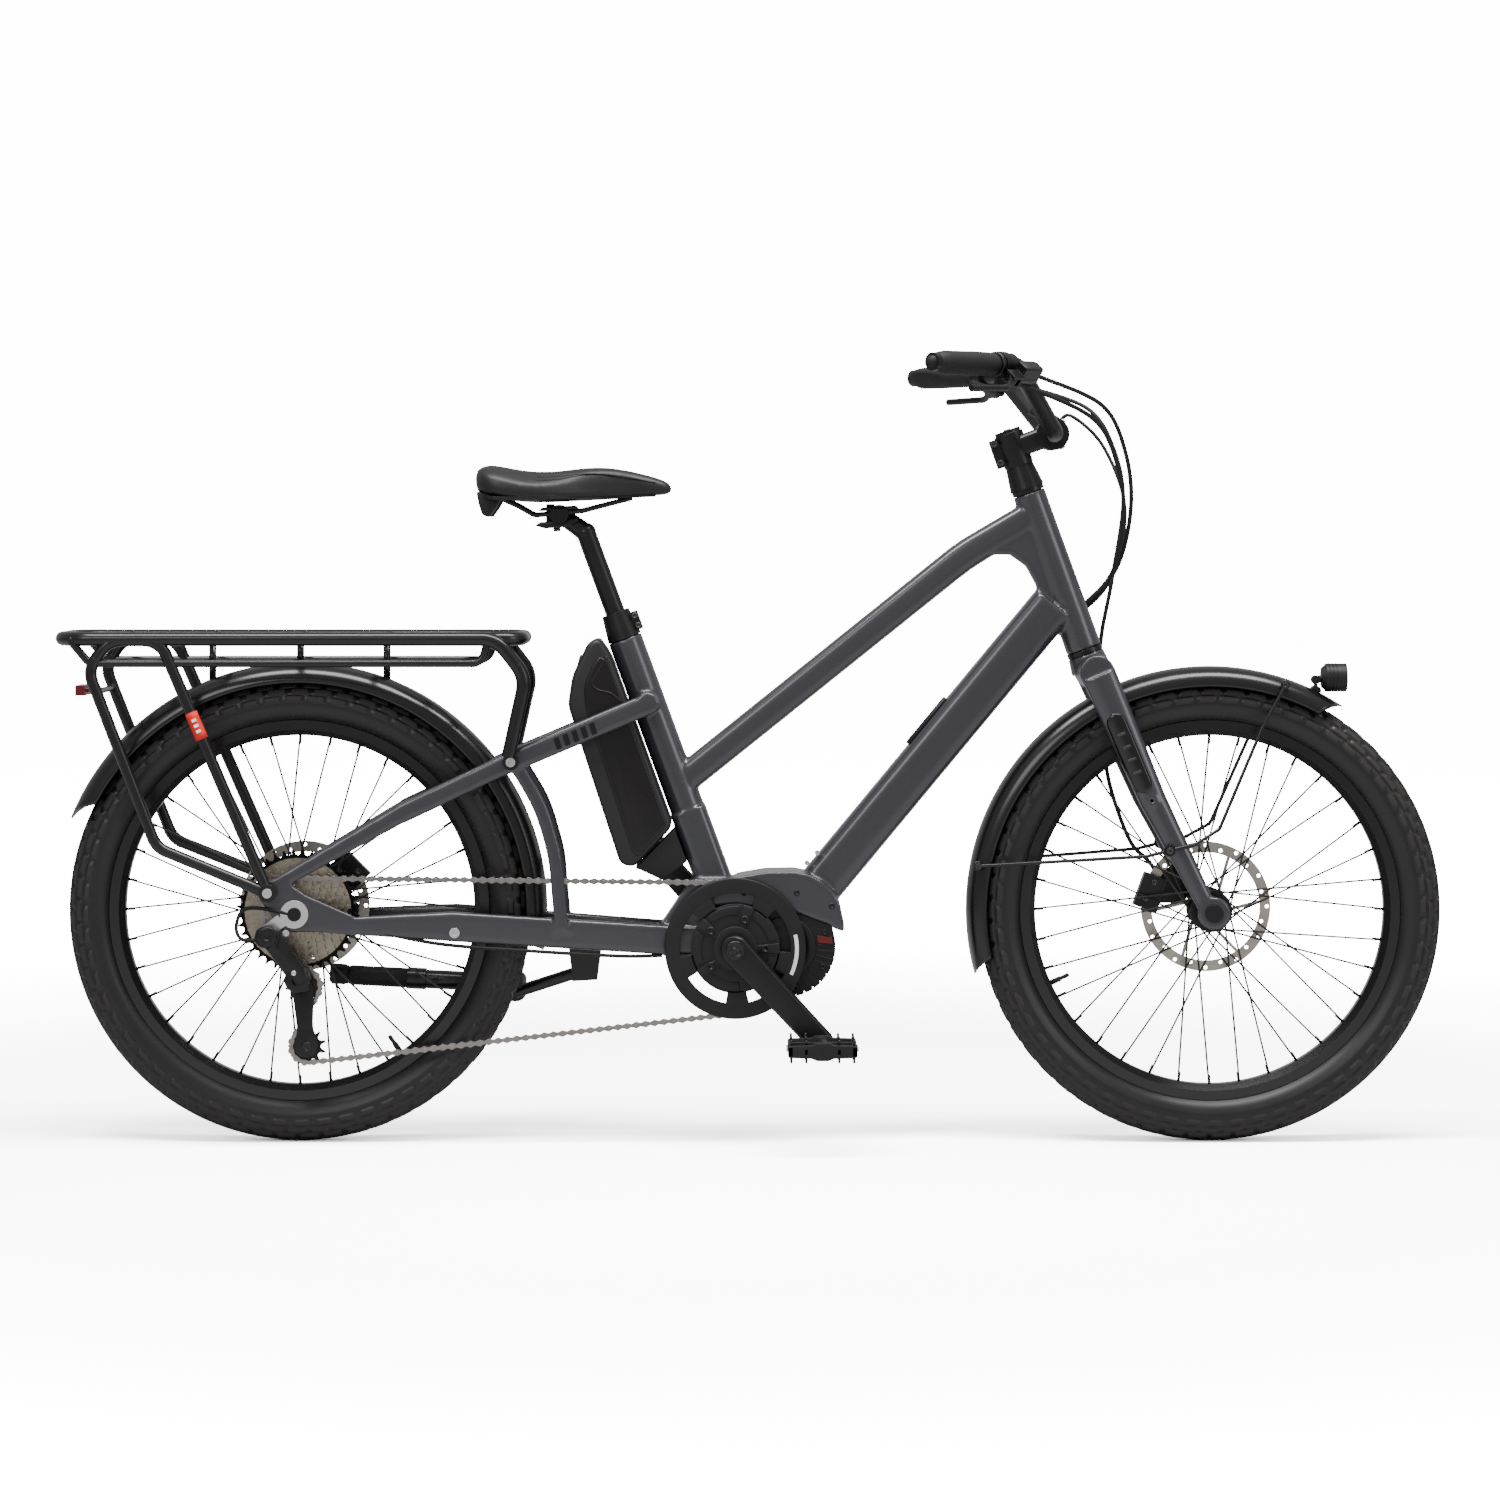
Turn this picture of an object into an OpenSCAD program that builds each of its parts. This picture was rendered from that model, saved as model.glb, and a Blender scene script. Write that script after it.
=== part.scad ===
// Longtail-style cargo bicycle with a mid motor, a rear frame battery and a tubular rear rack.
// The origin is on the ground under the middle of the bicycle: +X points forward, +Y to the rider's
// left and +Z up. All lengths are in millimetres.

/* [Wheels] */
// Distance between the two axles
wheelbase = 1251; // [1240:1:1260]
// Outer radius of both tyres
tyre_r = 318; // [316:1:320]
// Width of both tyres
tyre_w = 64; // [60:1:66]
// Spokes in each wheel
spokes = 36; // [28, 32, 36]
// Outer radius of the brake discs
rotor_r = 90; // [80:1:92]

/* [Steering] */
// Angle of the head tube above the ground
head_angle = 70.6; // [70:0.1:71]
// Half of the handlebar width
bar_half = 322; // [310:1:330]
// How far the handlebar grips stand above the stem clamp
bar_rise = 88; // [80:1:95]

/* [Drivetrain] */
// Teeth on the chainring
ring_teeth = 44; // [42:1:44]
// Teeth on the sprocket that the chain runs on
cog_teeth = 23; // [23]
// Length of the crank arms
crank_l = 172; // [165:1:175]
// Angle of the right crank arm below the horizon
crank_drop = 47; // [40:1:50]

/* [Rack] */
// Height of the rack tubes' centre above the ground
rack_z = 692; // [690:1:694]
// Half of the rack deck's width, to the tube's centre
rack_half = 78; // [76:1:80]

/* [Hidden] */
$fn = 48;

// ---- Driving points ------------------------------------------------------------------------
half_length = 950;
front = [half_length - tyre_r, 0, tyre_r];
rear = [front[0] - wheelbase, 0, tyre_r];
bb = [rear[0] + 599, 0, 269];
head_up = [-cos(head_angle), 0, sin(head_angle)];
head_low = [front[0] - 170, 0, 670];
head_len = 241;
head_top = head_low + head_up * head_len;
seat_up = [-0.3453, 0, 0.9385];
seat_fwd = [seat_up[2], 0, -seat_up[0]];
seat_foot = [bb[0] - 45, 0, 399];
seat_top = seat_foot + seat_up * 318;
drop_y = 74;
drop_t = 8;

// ---- Vectors and placing --------------------------------------------------------------------
function unit(v) = v / norm(v);
function side(z) = unit(abs(z[1]) < 0.9 ? cross([0, 1, 0], z) : cross([0, 0, 1], z));
function turn(u, v) = acos(max(-1, min(1, u * v)));
// The same point on the left (s = 1) or on the right (s = -1)
function on(p, s) = [p[0], s * p[1], p[2]];
function polar(c, r, a, y) = [c[0] + r * cos(a), y, c[2] + r * sin(a)];

// Places children in a frame whose axes are x, y and z and whose origin is o
module placed(x, y, z, o) {
    multmatrix([
        [x[0], y[0], z[0], o[0]],
        [x[1], y[1], z[1], o[1]],
        [x[2], y[2], z[2], o[2]]
    ]) children();
}

// Stands children's +Z along the line from a to b
module along(a, b) {
    z = unit(b - a);
    x = side(z);
    placed(x, cross(z, x), z, a) children();
}

// Draws children, a 2D shape in X and Z, as a slab from y0 to y1
module slab(y0, y1) {
    translate([0, y1, 0]) rotate([90, 0, 0]) linear_extrude(y1 - y0) children();
}

// A round rod from a to b, or a cone that ends at radius r2
module rod(a, b, r, r2 = 0) {
    along(a, b) rotate(37) cylinder(h = norm(b - a), r1 = r, r2 = r2 > 0 ? r2 : r);
}

// Each bend is this much thicker than the straights, which reach a little way into it
swell = 0.2;
lap = 1;

// A round bar through the points p, with a bend of radius bend at each inner point
module bent(p, r, bend) {
    n = len(p);
    u = [for (i = [0:n - 2]) unit(p[i + 1] - p[i])];
    t = [for (i = [0:n - 1]) i == 0 || i == n - 1 ? 0 : bend * tan(turn(u[i - 1], u[i]) / 2)];
    for (i = [0:n - 2]) rod(
        p[i] + u[i] * (t[i] - (i > 0 ? lap : 0)),
        p[i + 1] - u[i] * (t[i + 1] - (i < n - 2 ? lap : 0)),
        r
    );
    for (i = [1:n - 2]) {
        inward = unit(u[i] - u[i - 1] * (u[i] * u[i - 1]));
        centre = p[i] - u[i - 1] * t[i] + inward * bend;
        placed(-inward, u[i - 1], cross(-inward, u[i - 1]), centre)
            rotate_extrude(angle = turn(u[i - 1], u[i])) translate([bend, 0]) circle(r + swell);
    }
}

function corner_arc(c, r, a, steps = 4) =
    [for (i = [0:steps]) c + r * [cos(a + 90 * i / steps), sin(a + 90 * i / steps)]];

// Outline of a w by h rectangle with round corners
function round_rect(w, h, r) = concat(
    corner_arc([w / 2 - r, h / 2 - r], r, 0),
    corner_arc([r - w / 2, h / 2 - r], r, 90),
    corner_arc([r - w / 2, r - h / 2], r, 180),
    corner_arc([w / 2 - r, r - h / 2], r, 270)
);

// A round-cornered bar from a to b: w across the bicycle, h in its plane, moved off in its plane
module bar(a, b, w, h, r, off = 0) {
    z = unit(b - a);
    x = unit(cross([0, 1, 0], z));
    placed(x, cross(z, x), z, a) linear_extrude(norm(b - a))
        translate([off, 0]) polygon(round_rect(h, w, r));
}

// A round-cornered bar through points of one vertical plane, with bends of radius bend
module bent_bar(p, w, h, r, bend) {
    n = len(p);
    u = [for (i = [0:n - 2]) unit(p[i + 1] - p[i])];
    t = [for (i = [0:n - 1]) i == 0 || i == n - 1 ? 0 : bend * tan(turn(u[i - 1], u[i]) / 2)];
    for (i = [0:n - 2]) bar(
        p[i] + u[i] * (t[i] - (i > 0 ? lap : 0)),
        p[i + 1] - u[i] * (t[i + 1] - (i < n - 2 ? lap : 0)),
        w, h, r
    );
    for (i = [1:n - 2]) {
        inward = unit(u[i] - u[i - 1] * (u[i] * u[i - 1]));
        centre = p[i] - u[i - 1] * t[i] + inward * bend;
        placed(-inward, u[i - 1], cross(-inward, u[i - 1]), centre)
            rotate_extrude(angle = turn(u[i - 1], u[i]))
                translate([bend, 0]) polygon(round_rect(h + 2 * swell, w + 2 * swell, r + swell));
    }
}

// ---- Wheels ----------------------------------------------------------------------------------
rim_top = 261;
rim_low = 240;
rim_half = 17.5;
tyre_mid = tyre_r - tyre_w / 2;
tyre_wall = 4.5;
spoke_r = 1;

// Spins children about the bicycle's Y axis through c, with 0 degrees along +X and 90 along +Z
module spun(c) {
    translate(c) rotate([90, 0, 0]) children();
}

module tyre(c) {
    spun(c) rotate_extrude() difference() {
        translate([tyre_mid, 0]) circle(tyre_w / 2);
        translate([tyre_mid, 0]) circle(tyre_w / 2 - tyre_wall);
        translate([rim_low, -tyre_w]) square([rim_top - rim_low, 2 * tyre_w]);
    }
}

module rim(c) {
    lip = 2.5;
    well = 6;
    spun(c) rotate_extrude() polygon([
        [rim_low, -8], [rim_low, 8], [rim_low + 8, rim_half], [rim_top, rim_half],
        [rim_top, rim_half - lip], [rim_top - 8, rim_half - lip], [rim_low + well, 5],
        [rim_low + well, -5], [rim_top - 8, lip - rim_half], [rim_top, lip - rim_half],
        [rim_top, -rim_half], [rim_low + 8, -rim_half]
    ]);
}

// Spokes laced three-cross: each leaves its flange a sixth of a turn from where it meets the rim
module spoke_set(c, flange_r, left_y, right_y) {
    lead = 60;
    step = 360 / spokes;
    for (i = [0:spokes - 1]) {
        way = i % 4 < 2 ? 1 : -1;
        left = i % 2 == 0;
        y = (left ? left_y : right_y) + way * 2;
        rod(
            polar(c, flange_r - 3, i * step + way * lead, c[1] + y),
            polar(c, rim_low + 3, i * step, c[1] + (left ? 3 : -3)),
            spoke_r
        );
    }
}

// A hub shell with two flanges and a bore; y runs from right to left
module hub(c, half, shell_r, flange_r, left_y, right_y, bore_r) {
    flange_t = 3;
    difference() {
        union() {
            rod(c - [0, half, 0], c + [0, half, 0], bore_r + 5);
            rod(c + [0, right_y, 0], c + [0, left_y, 0], shell_r);
            for (y = [left_y, right_y])
                rod(c + [0, y - flange_t / 2, 0], c + [0, y + flange_t / 2, 0], flange_r);
        }
        rod(c - [0, half + 1, 0], c + [0, half + 1, 0], bore_r);
    }
}

// A brake disc: a slotted ring on six arms
module rotor(c, y) {
    arms = 6;
    holes = 24;
    inner = 22;
    slab_t = 1.8;
    translate([0, y + slab_t / 2, 0]) spun(c) linear_extrude(slab_t) {
        difference() {
            circle(rotor_r);
            circle(rotor_r - 15);
            for (i = [0:holes - 1]) rotate(i * 360 / holes)
                translate([rotor_r - 5 - 5 * (i % 2), 0]) circle(2.6);
        }
        difference() {
            circle(inner + 5);
            circle(inner - 2);
        }
        for (i = [0:arms - 1]) rotate(i * 360 / arms)
            translate([inner, -9]) rotate(14) square([rotor_r - inner - 6, 4.5]);
    }
}

front_hub_half = 55;
front_flange = 29;
rear_flange = 27;
cog_y = -49;

module front_tyre() { color("#1c1c1e") tyre(front); }
module front_rim() { color("#141415") rim(front); }
module front_spokes() { color("#5a5a5c") spoke_set(front, front_flange, 26, -30); }
module front_hub() { color("#1a1a1a") hub(front, front_hub_half, 24, front_flange, 26, -30, 7.56); }
module front_rotor() { color("#b8b0a0") rotor(front, 43); }
module rear_tyre() { color("#1c1c1e") tyre(rear); }
module rear_rim() { color("#141415") rim(rear); }
module rear_spokes() { color("#5a5a5c") spoke_set(rear, rear_flange, 34, -20); }
module rear_hub() {
    color("#1a1a1a") difference() {
        hub(rear, drop_y - 0.3, 20, rear_flange, 34, -20, 6.06);
        rod(rear - [0, 80, 0], rear - [0, 26, 0], 17.2);
    }
}
module rear_rotor() { color("#b8b0a0") rotor(rear, 58); }

module thru_axle(c, half, r, head) {
    rod(c - [0, half, 0], c + [0, half, 0], r);
    rod(c - [0, half + 5, 0], c - [0, half, 0], head);
}
module front_axle() { color("#222224") thru_axle(front, 70, 7.5, 12); }
module rear_axle() { color("#222224") thru_axle(rear, drop_y + drop_t, 6, 9); }

// ---- Chain and sprockets ------------------------------------------------------------------------
pitch = 12.7;
roller_r = 3.85;
pulley_teeth = 11;
cog_list = [11, 13, 15, 17, 20, 23, 26, 30, 35, 40];
cog_step = 3.95;
lower_pulley_at = [rear[0] + 14, rear[2] - 183];
upper_pulley_at = [rear[0] + 10, rear[2] - 101];

function pitch_r(n) = pitch / 2 / sin(180 / n);
// Each wheel that the chain bends round: centre in X and Z, teeth, and 1 for clockwise seen from the right
wraps = [
    [[rear[0], rear[2]], cog_teeth, 1],
    [[bb[0], bb[2]], ring_teeth, 1],
    [lower_pulley_at, pulley_teeth, 1],
    [upper_pulley_at, pulley_teeth, -1]
];
count = len(wraps);
function reach(i) = wraps[i][2] * pitch_r(wraps[i][1]);
// Direction of the straight run that leaves wheel i for the next one
function heading(i) =
    let (j = (i + 1) % count, d = wraps[j][0] - wraps[i][0])
    atan2(d[1], d[0]) - asin((reach(i) - reach(j)) / norm(d));
function touch(i, a) = wraps[i][0] + reach(i) * [-sin(a), cos(a)];
function run_len(i) = norm(touch((i + 1) % count, heading(i)) - touch(i, heading(i)));
function wrap_angle(i) =
    let (a = heading((i + count - 1) % count), b = heading(i), w = wraps[i][2] * (a - b))
    w - 360 * floor(w / 360);
// Lengths in links: the runs are stretched a little, so that the loop closes on a whole even number
function wrap_links(i) = wrap_angle(i) * wraps[i][1] / 360;
function sum(v, i = 0) = i < len(v) ? v[i] + sum(v, i + 1) : 0;
all_wraps = sum([for (i = [0:count - 1]) wrap_links(i)]);
all_runs = sum([for (i = [0:count - 1]) run_len(i)]) / pitch;
links = 2 * round((all_wraps + all_runs) / 2);
stretch = (links - all_wraps) / all_runs;
function run_links(i) = run_len(i) / pitch * stretch;
// Where each run starts along the loop, counted in links from the start of run 0
function run_start(i) = i == 0 ? 0 : run_start(i - 1) + run_links(i - 1) + wrap_links(i);
function roller_in(i, s) =
    s < run_links(i)
        ? touch(i, heading(i)) + s / run_links(i)
            * (touch((i + 1) % count, heading(i)) - touch(i, heading(i)))
        : let (j = (i + 1) % count)
            touch(j, heading(i) - wraps[j][2] * (s - run_links(i)) * 360 / wraps[j][1]);
function run_of(s, i = 0) = i == count - 1 || s < run_start(i + 1) ? i : run_of(s, i + 1);
function roller_at(k) = let (s = k % links, i = run_of(s)) roller_in(i, s - run_start(i));
// Angle, seen from the wheel's centre, of the first roller that lies on wheel j
function first_roller(j) =
    let (
        i = (j + count - 1) % count,
        k = ceil(run_start(i) + run_links(i) + 0.5),
        d = roller_at(k) - wraps[j][0]
    ) atan2(d[1], d[0]);

plate_r = 4.1;
module link(a, b, inner) {
    d = b - a;
    y0 = inner ? 1.15 : 2.05;
    t = 0.8;
    module faces(r, waist) {
        circle(r);
        translate([norm(d), 0]) circle(r);
        translate([0, -waist]) square([norm(d), 2 * waist]);
    }
    translate([a[0], cog_y, a[1]]) rotate([0, -atan2(d[1], d[0]), 0]) difference() {
        union() {
            slab(y0, y0 + t) faces(plate_r, 2.7);
            slab(-y0 - t, -y0) faces(plate_r, 2.7);
            for (x = [0, norm(d)]) translate([x, 0, 0])
                if (inner) slab(-y0, y0) circle(roller_r);
                else slab(-y0 - t - 0.05, y0 + t + 0.05) circle(1.7);
        }
        if (inner) for (x = [0, norm(d)]) translate([x, 0, 0]) slab(-3, 3) circle(1.8);
    }
}
module chain() {
    color("#8d8a86") for (k = [0:links - 1]) link(roller_at(k), roller_at(k + 1), k % 2 == 0);
}

// Outline of a sprocket with a roller seat at 0 degrees; fine seats fit the chain's rollers
function sprocket(n, fine = true) =
    let (r = pitch_r(n), seat = roller_r + 0.25, arc = fine ? 70 : 60, steps = fine ? 4 : 2)
    [for (i = [0:n - 1]) each concat(
        [for (j = [0:steps])
            let (a = 180 - arc + 2 * arc * j / steps, p = [r + seat * cos(a), -seat * sin(a)])
            [p[0] * cos(i * 360 / n) - p[1] * sin(i * 360 / n),
             p[0] * sin(i * 360 / n) + p[1] * cos(i * 360 / n)]],
        [for (w = [-1, 1])
            let (a = (i + 0.5) * 360 / n + w * atan(1.1 / r))
            (r + 3.4) * [cos(a), sin(a)]]
    )];

module toothed(n, y, t, fine, phase) {
    translate([0, y + t / 2, 0]) rotate([90, 0, 0])
        linear_extrude(t) rotate(phase) difference() {
            polygon(sprocket(n, fine));
            children();
        }
}

module cassette() {
    body_r = 17;
    color("#a89e8c") difference() {
        translate(rear) {
            for (i = [0:len(cog_list) - 1])
                toothed(cog_list[i], cog_y + (i - 5) * cog_step, 1.6, cog_list[i] == cog_teeth,
                    cog_list[i] == cog_teeth ? first_roller(0) : 0)
                    if (cog_list[i] > 25) for (k = [0:4]) rotate(k * 72)
                        translate([pitch_r(cog_list[i]) - 12, 0]) circle(5);
            rod([0, cog_y - 6 * cog_step, 0], [0, -28, 0], body_r);
        }
        rod(rear - [0, 100, 0], rear, 6.1);
    }
}

guard_r = 96.5;
ring_bolts = 5;
ring_bolt_r = 41;
module at_ring_bolts(r) {
    for (k = [0:ring_bolts - 1]) rotate(k * 360 / ring_bolts) translate([ring_bolt_r, 0]) circle(r);
}
// The openings between the spider's arms, from radius r0 to r1
module ring_windows(r0, r1) {
    for (k = [0:ring_bolts - 1]) rotate(k * 360 / ring_bolts + 20) intersection() {
        difference() {
            circle(r1);
            circle(r0);
        }
        polygon([[0, 0], [90, -40], [90, 40]]);
    }
}
module chainring() {
    color("#2a2a2c") translate([bb[0], 0, bb[2]])
        toothed(ring_teeth, cog_y, 1.8, true, first_roller(1)) {
            circle(34);
            rotate(-first_roller(1)) at_ring_bolts(4.05);
            rotate(-first_roller(1)) ring_windows(59, 77);
        }
}
// The spider inside the chainring and the guard outside it, joined by the chainring bolts
module chain_guard() {
    hub_r = 48;
    inner_face = cog_y + 0.9;
    outer_face = cog_y - 0.9;
    color("#1d1c1d") translate([bb[0], 0, bb[2]]) {
        slab(inner_face, inner_face + 2) difference() {
            circle(hub_r);
            circle(13.06);
        }
        slab(outer_face - 3.1, outer_face) difference() {
            circle(hub_r);
            circle(13.06);
        }
        slab(outer_face - 6.1, outer_face - 3.1) difference() {
            circle(guard_r);
            circle(13.06);
            ring_windows(61, 76);
        }
        slab(outer_face - 8, inner_face + 3) at_ring_bolts(4);
    }
}

crank_way = [cos(crank_drop), 0, -sin(crank_drop)];
pedal_r_at = bb + crank_way * crank_l;
pedal_l_at = bb - crank_way * crank_l;
arm_in = 68;
arm_out = 83;
pedal_bore = 7.06;
module crank_arm(tip, sign) {
    d = tip - bb;
    inner = sign * arm_in;
    outer = sign * arm_out;
    difference() {
        translate(bb) rotate([0, -atan2(d[2], d[0]), 0]) slab(min(inner, outer), max(inner, outer)) {
            circle(20);
            polygon([[0, -19.5], [crank_l, -17.5], [crank_l, 17.5], [0, 19.5]]);
            translate([crank_l, 0]) circle(17.5);
        }
        rod(bb - [0, arm_out + 1, 0], bb + [0, arm_out + 1, 0], 9);
    }
    rod(tip + [0, inner, 0], tip + [0, sign * (arm_out + 98), 0], 7);
}
module crank_right() { color("#2b2b2d") crank_arm(pedal_r_at, -1); }
module crank_left() { color("#2b2b2d") crank_arm(pedal_l_at, 1); }
module crank_spindle() {
    color("#777777") {
        rod(bb - [0, arm_out, 0], bb + [0, arm_out, 0], 9);
        rod(bb - [0, arm_in, 0], bb + [0, arm_in, 0], 13);
    }
}

// A platform pedal: a cage round a tube that turns on the pedal spindle
module pedal(c, sign) {
    near = arm_out + 8;
    wide = 92;
    long = 94;
    tall = 22;
    rail = 9;
    y0 = sign > 0 ? near : -near - wide;
    translate([c[0], 0, c[2]]) difference() {
        union() {
            difference() {
                translate([-long / 2, y0, -tall / 2]) cube([long, wide, tall]);
                for (x = [rail - long / 2, 12]) translate([x, y0 + rail, -tall])
                    cube([long / 2 - rail - 12, wide - 2 * rail, 2 * tall]);
            }
            rod([0, y0 - 1, 0], [0, y0 + wide + 1, 0], 12.5);
        }
        rod([0, y0 - 2, 0], [0, y0 + wide + 2, 0], pedal_bore);
    }
}
module pedal_right() { color("#252324") pedal(pedal_r_at, -1); }
module pedal_left() { color("#252324") pedal(pedal_l_at, 1); }

// ---- Derailleur ----------------------------------------------------------------------------------
cage_out = -54;
cage_in = -45;
cage_t = 1.6;
lower_p = [lower_pulley_at[0], 0, lower_pulley_at[1]];
upper_p = [upper_pulley_at[0], 0, upper_pulley_at[1]];
hanger_bolt = rear + [-35, 0, -28];
module pulley(p, j) {
    translate([p[0], 0, p[2]]) toothed(pulley_teeth, cog_y, 1.8, true, first_roller(j)) circle(2.56);
}
module upper_pulley() { color("#202022") pulley(upper_p, 3); }
module lower_pulley() { color("#202022") pulley(lower_p, 2); }

cage_pivot = upper_p + [-6, 0, 12];
module cage_plate(y0, wide) {
    d = lower_p - upper_p;
    slab(y0, y0 + cage_t) {
        translate([upper_p[0], upper_p[2]]) circle(wide + 3);
        translate([lower_p[0], lower_p[2]]) circle(wide);
        translate([upper_p[0], upper_p[2]]) rotate(atan2(d[2], d[0]))
            translate([0, -9]) square([norm(d), 18]);
        translate([cage_pivot[0], cage_pivot[2]]) circle(12);
    }
}
module derailleur_cage() {
    color("#2e2e30") difference() {
        union() {
            cage_plate(cage_out, 15);
            cage_plate(cage_in + 0.2, 12);
            for (p = [upper_p, lower_p]) rod(p + [0, cage_out, 0], p + [0, cage_in + 1, 0], 2.5);
        }
        rod(cage_pivot - [0, 90, 0], cage_pivot + [0, cage_out + 5, 0], 5.06);
    }
}
module derailleur_body() {
    color("#29292b") {
        rod(hanger_bolt - [0, 104, 0], hanger_bolt - [0, 84.5, 0], 14);
        rod(hanger_bolt + [4, -97, -12], cage_pivot + [-8, -80, 8], 8);
        rod(hanger_bolt + [12, -90, -2], cage_pivot + [4, -70, 14], 6);
        rod(cage_pivot - [0, 86, 0], cage_pivot - [0, 54.3, 0], 17);
        rod(cage_pivot - [0, 60, 0], cage_pivot + [0, cage_out + cage_t, 0], 5);
    }
}
module derailleur_hanger() {
    t = 2.4;
    color("#c9c9cb") difference() {
        slab(-drop_y - drop_t - t, -drop_y - drop_t - 0.1) {
            translate([rear[0], rear[2]]) circle(19);
            translate([hanger_bolt[0], hanger_bolt[2]]) circle(9);
            translate([rear[0] - 20, rear[2] - 10]) rotate(38) translate([-26, -9]) square([30, 18]);
        }
        rod(rear - [0, 100, 0], rear, 9.3);
        rod(hanger_bolt - [0, 100, 0], hanger_bolt, 3);
    }
}

// ---- Frame ---------------------------------------------------------------------------------------
steerer_r = 14.3;
head_bore = 18.5;
cup_h = 6;
post_r = 13.6;
fit = 0.05;
seat_r = 23.9;
seat_len = 311;
collar_h = 38;
motor_at = [48, 0, 270];
motor_r = 69;
motor_half = 42;
shell_half = 44.5;
stay_t = 15;
rack_boss = rear + [-35, 0, 30];
stay_boss = [-326, 0, 524];
pivot_boss = [-402, 0, 292];

function axis_at(s) = head_low + head_up * s;
function post_at(s) = seat_foot + seat_up * s;

// Outline of the motor, grown by g; its top is cut off where the frame's shell covers it
module motor_shape(g) {
    intersection() {
        union() {
            translate([motor_at[0], motor_at[2]]) circle(motor_r + g);
            translate([bb[0], bb[2]]) circle(40 + g);
            polygon([
                [bb[0], bb[2] - 40 - g], [motor_at[0], motor_at[2] - motor_r - g],
                [motor_at[0], motor_at[2] + motor_r + g], [bb[0], bb[2] + 40 + g]
            ]);
        }
        translate([0, g])
            polygon([[-150, 100], [-150, 330], [-20, 328], [59, 318], [129, 292.5], [160, 100]]);
    }
}

// A stay of oblong section that narrows from a to b: h in the bicycle's plane, t across it
module taper(a, b, h1, h2, t1, t2) {
    z = unit(b - a);
    x = unit(cross([0, 1, 0], z));
    hull() {
        placed(x, cross(z, x), z, a) linear_extrude(1) polygon(round_rect(h1, t1, t1 / 2.2));
        placed(x, cross(z, x), z, b) linear_extrude(1) polygon(round_rect(h2, t2, t2 / 2.2));
    }
}

module stays(s) {
    bar(on([-136, 53, 604], s), on([-326, 56, 524], s), stay_t, 30, 6);
    bar(on([-324, 56, 525], s), on([-478, 63, 453], s), stay_t, 28, 6);
    taper(on([-476, 63, 454], s), on([-634, 78, 364], s), 27, 19, stay_t, drop_t);
    bar(on([-60, 36.5, 275], s), on([-114, 36.5, 279], s), stay_t + 1, 41, 6);
    bar(on([-112, 36.5, 279], s), on([-410, 62, 300], s), stay_t + 1, 41, 6);
    taper(on([-408, 62, 300], s), on([-562, 78, 302], s), 41, 22, stay_t + 1, drop_t);
    bent_bar([
        on([-320, 57, 520], s), on([-285, 57, 462], s), on([-266, 57, 395], s), on([-257, 57, 290], s)
    ], 8, 19, 3.5, 200);
}

module dropout() {
    polygon([
        [-540, 316], [-540, 291], [-600, 294], [-636, 294], [-668, 340], [-664, 360], [-640, 369],
        [-604, 344]
    ]);
    translate([rear[0], rear[2]]) circle(25);
    translate([rack_boss[0], rack_boss[2]]) circle(13);
}

module frame() {
    color("#3f404a") difference() {
        union() {
            rod(axis_at(cup_h), axis_at(head_len - cup_h), 25, 22.5);
            bent_bar([[-100, 0, 489], [296, 0, 806], [398, 0, 866]], 38, 41, 12, 320);
            bar([92, 0, 345], [418, 0, 738], 56, 61.5, 16);
            rod(post_at(-58), post_at(seat_len), seat_r);
            bar(post_at(-50), post_at(60), 50, 50, 14);
            slab(-36, 36)
                polygon([
                    [-122, 299], [-122, 259], [-70, 236], [-20, 226], [20, 300], [-14, 362], [-80, 362]
                ]);
            slab(-shell_half, shell_half) polygon([
                [-62, 326], [-20, 326], [59, 316], [129, 290], [129, 302], [124, 326], [114, 345],
                [98, 360], [80, 369], [60, 373], [20, 372], [-16, 366], [-44, 352]
            ]);
            slab(-17, 17)
                polygon([
                    [322, 806], [358, 806], [380, 790], [394, 764], [404, 736], [440, 730], [398, 862]
                ]);
            for (s = [-1, 1]) {
                stays(s);
                rod(post_at(218), post_at(218) + [0, s * 60.4, 0], 15);
                slab(s > 0 ? drop_y : -drop_y - drop_t, s > 0 ? drop_y + drop_t : -drop_y) dropout();
            }
        }
        rod(axis_at(-1), axis_at(head_len + 1), head_bore);
        rod(post_at(120), post_at(seat_len + 1), post_r + fit);
        slab(-80, 80) motor_shape(0.4);
        rod(rear - [0, 90, 0], rear + [0, 90, 0], 6);
        for (b = frame_bolt_list) bolt_hole(b);
    }
}

// A bolt is listed by where its head starts, which way the shank points, its head, its shank and length
frame_bolt_list = [
    for (s = [-1, 1]) each [
        [rack_boss + [0, s * 98, 0], [0, -s, 0], 6.5, 2.9, 20],
        [stay_boss + [0, s * 69, 0], [0, -s, 0], 6.5, 2.9, 12],
        [pivot_boss + [0, s * 70, 0], [0, -s, 0], 7, 3, 8]
    ],
    [rear + [-11, -84.4, -25], [0, 1, 0], 4.5, 2.4, 9],
    [[92, -28, 398], [0, 1, 0], 3.5, 2, 9],
    [[78, -28, 384], [0, 1, 0], 3.5, 2, 9]
];
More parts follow.
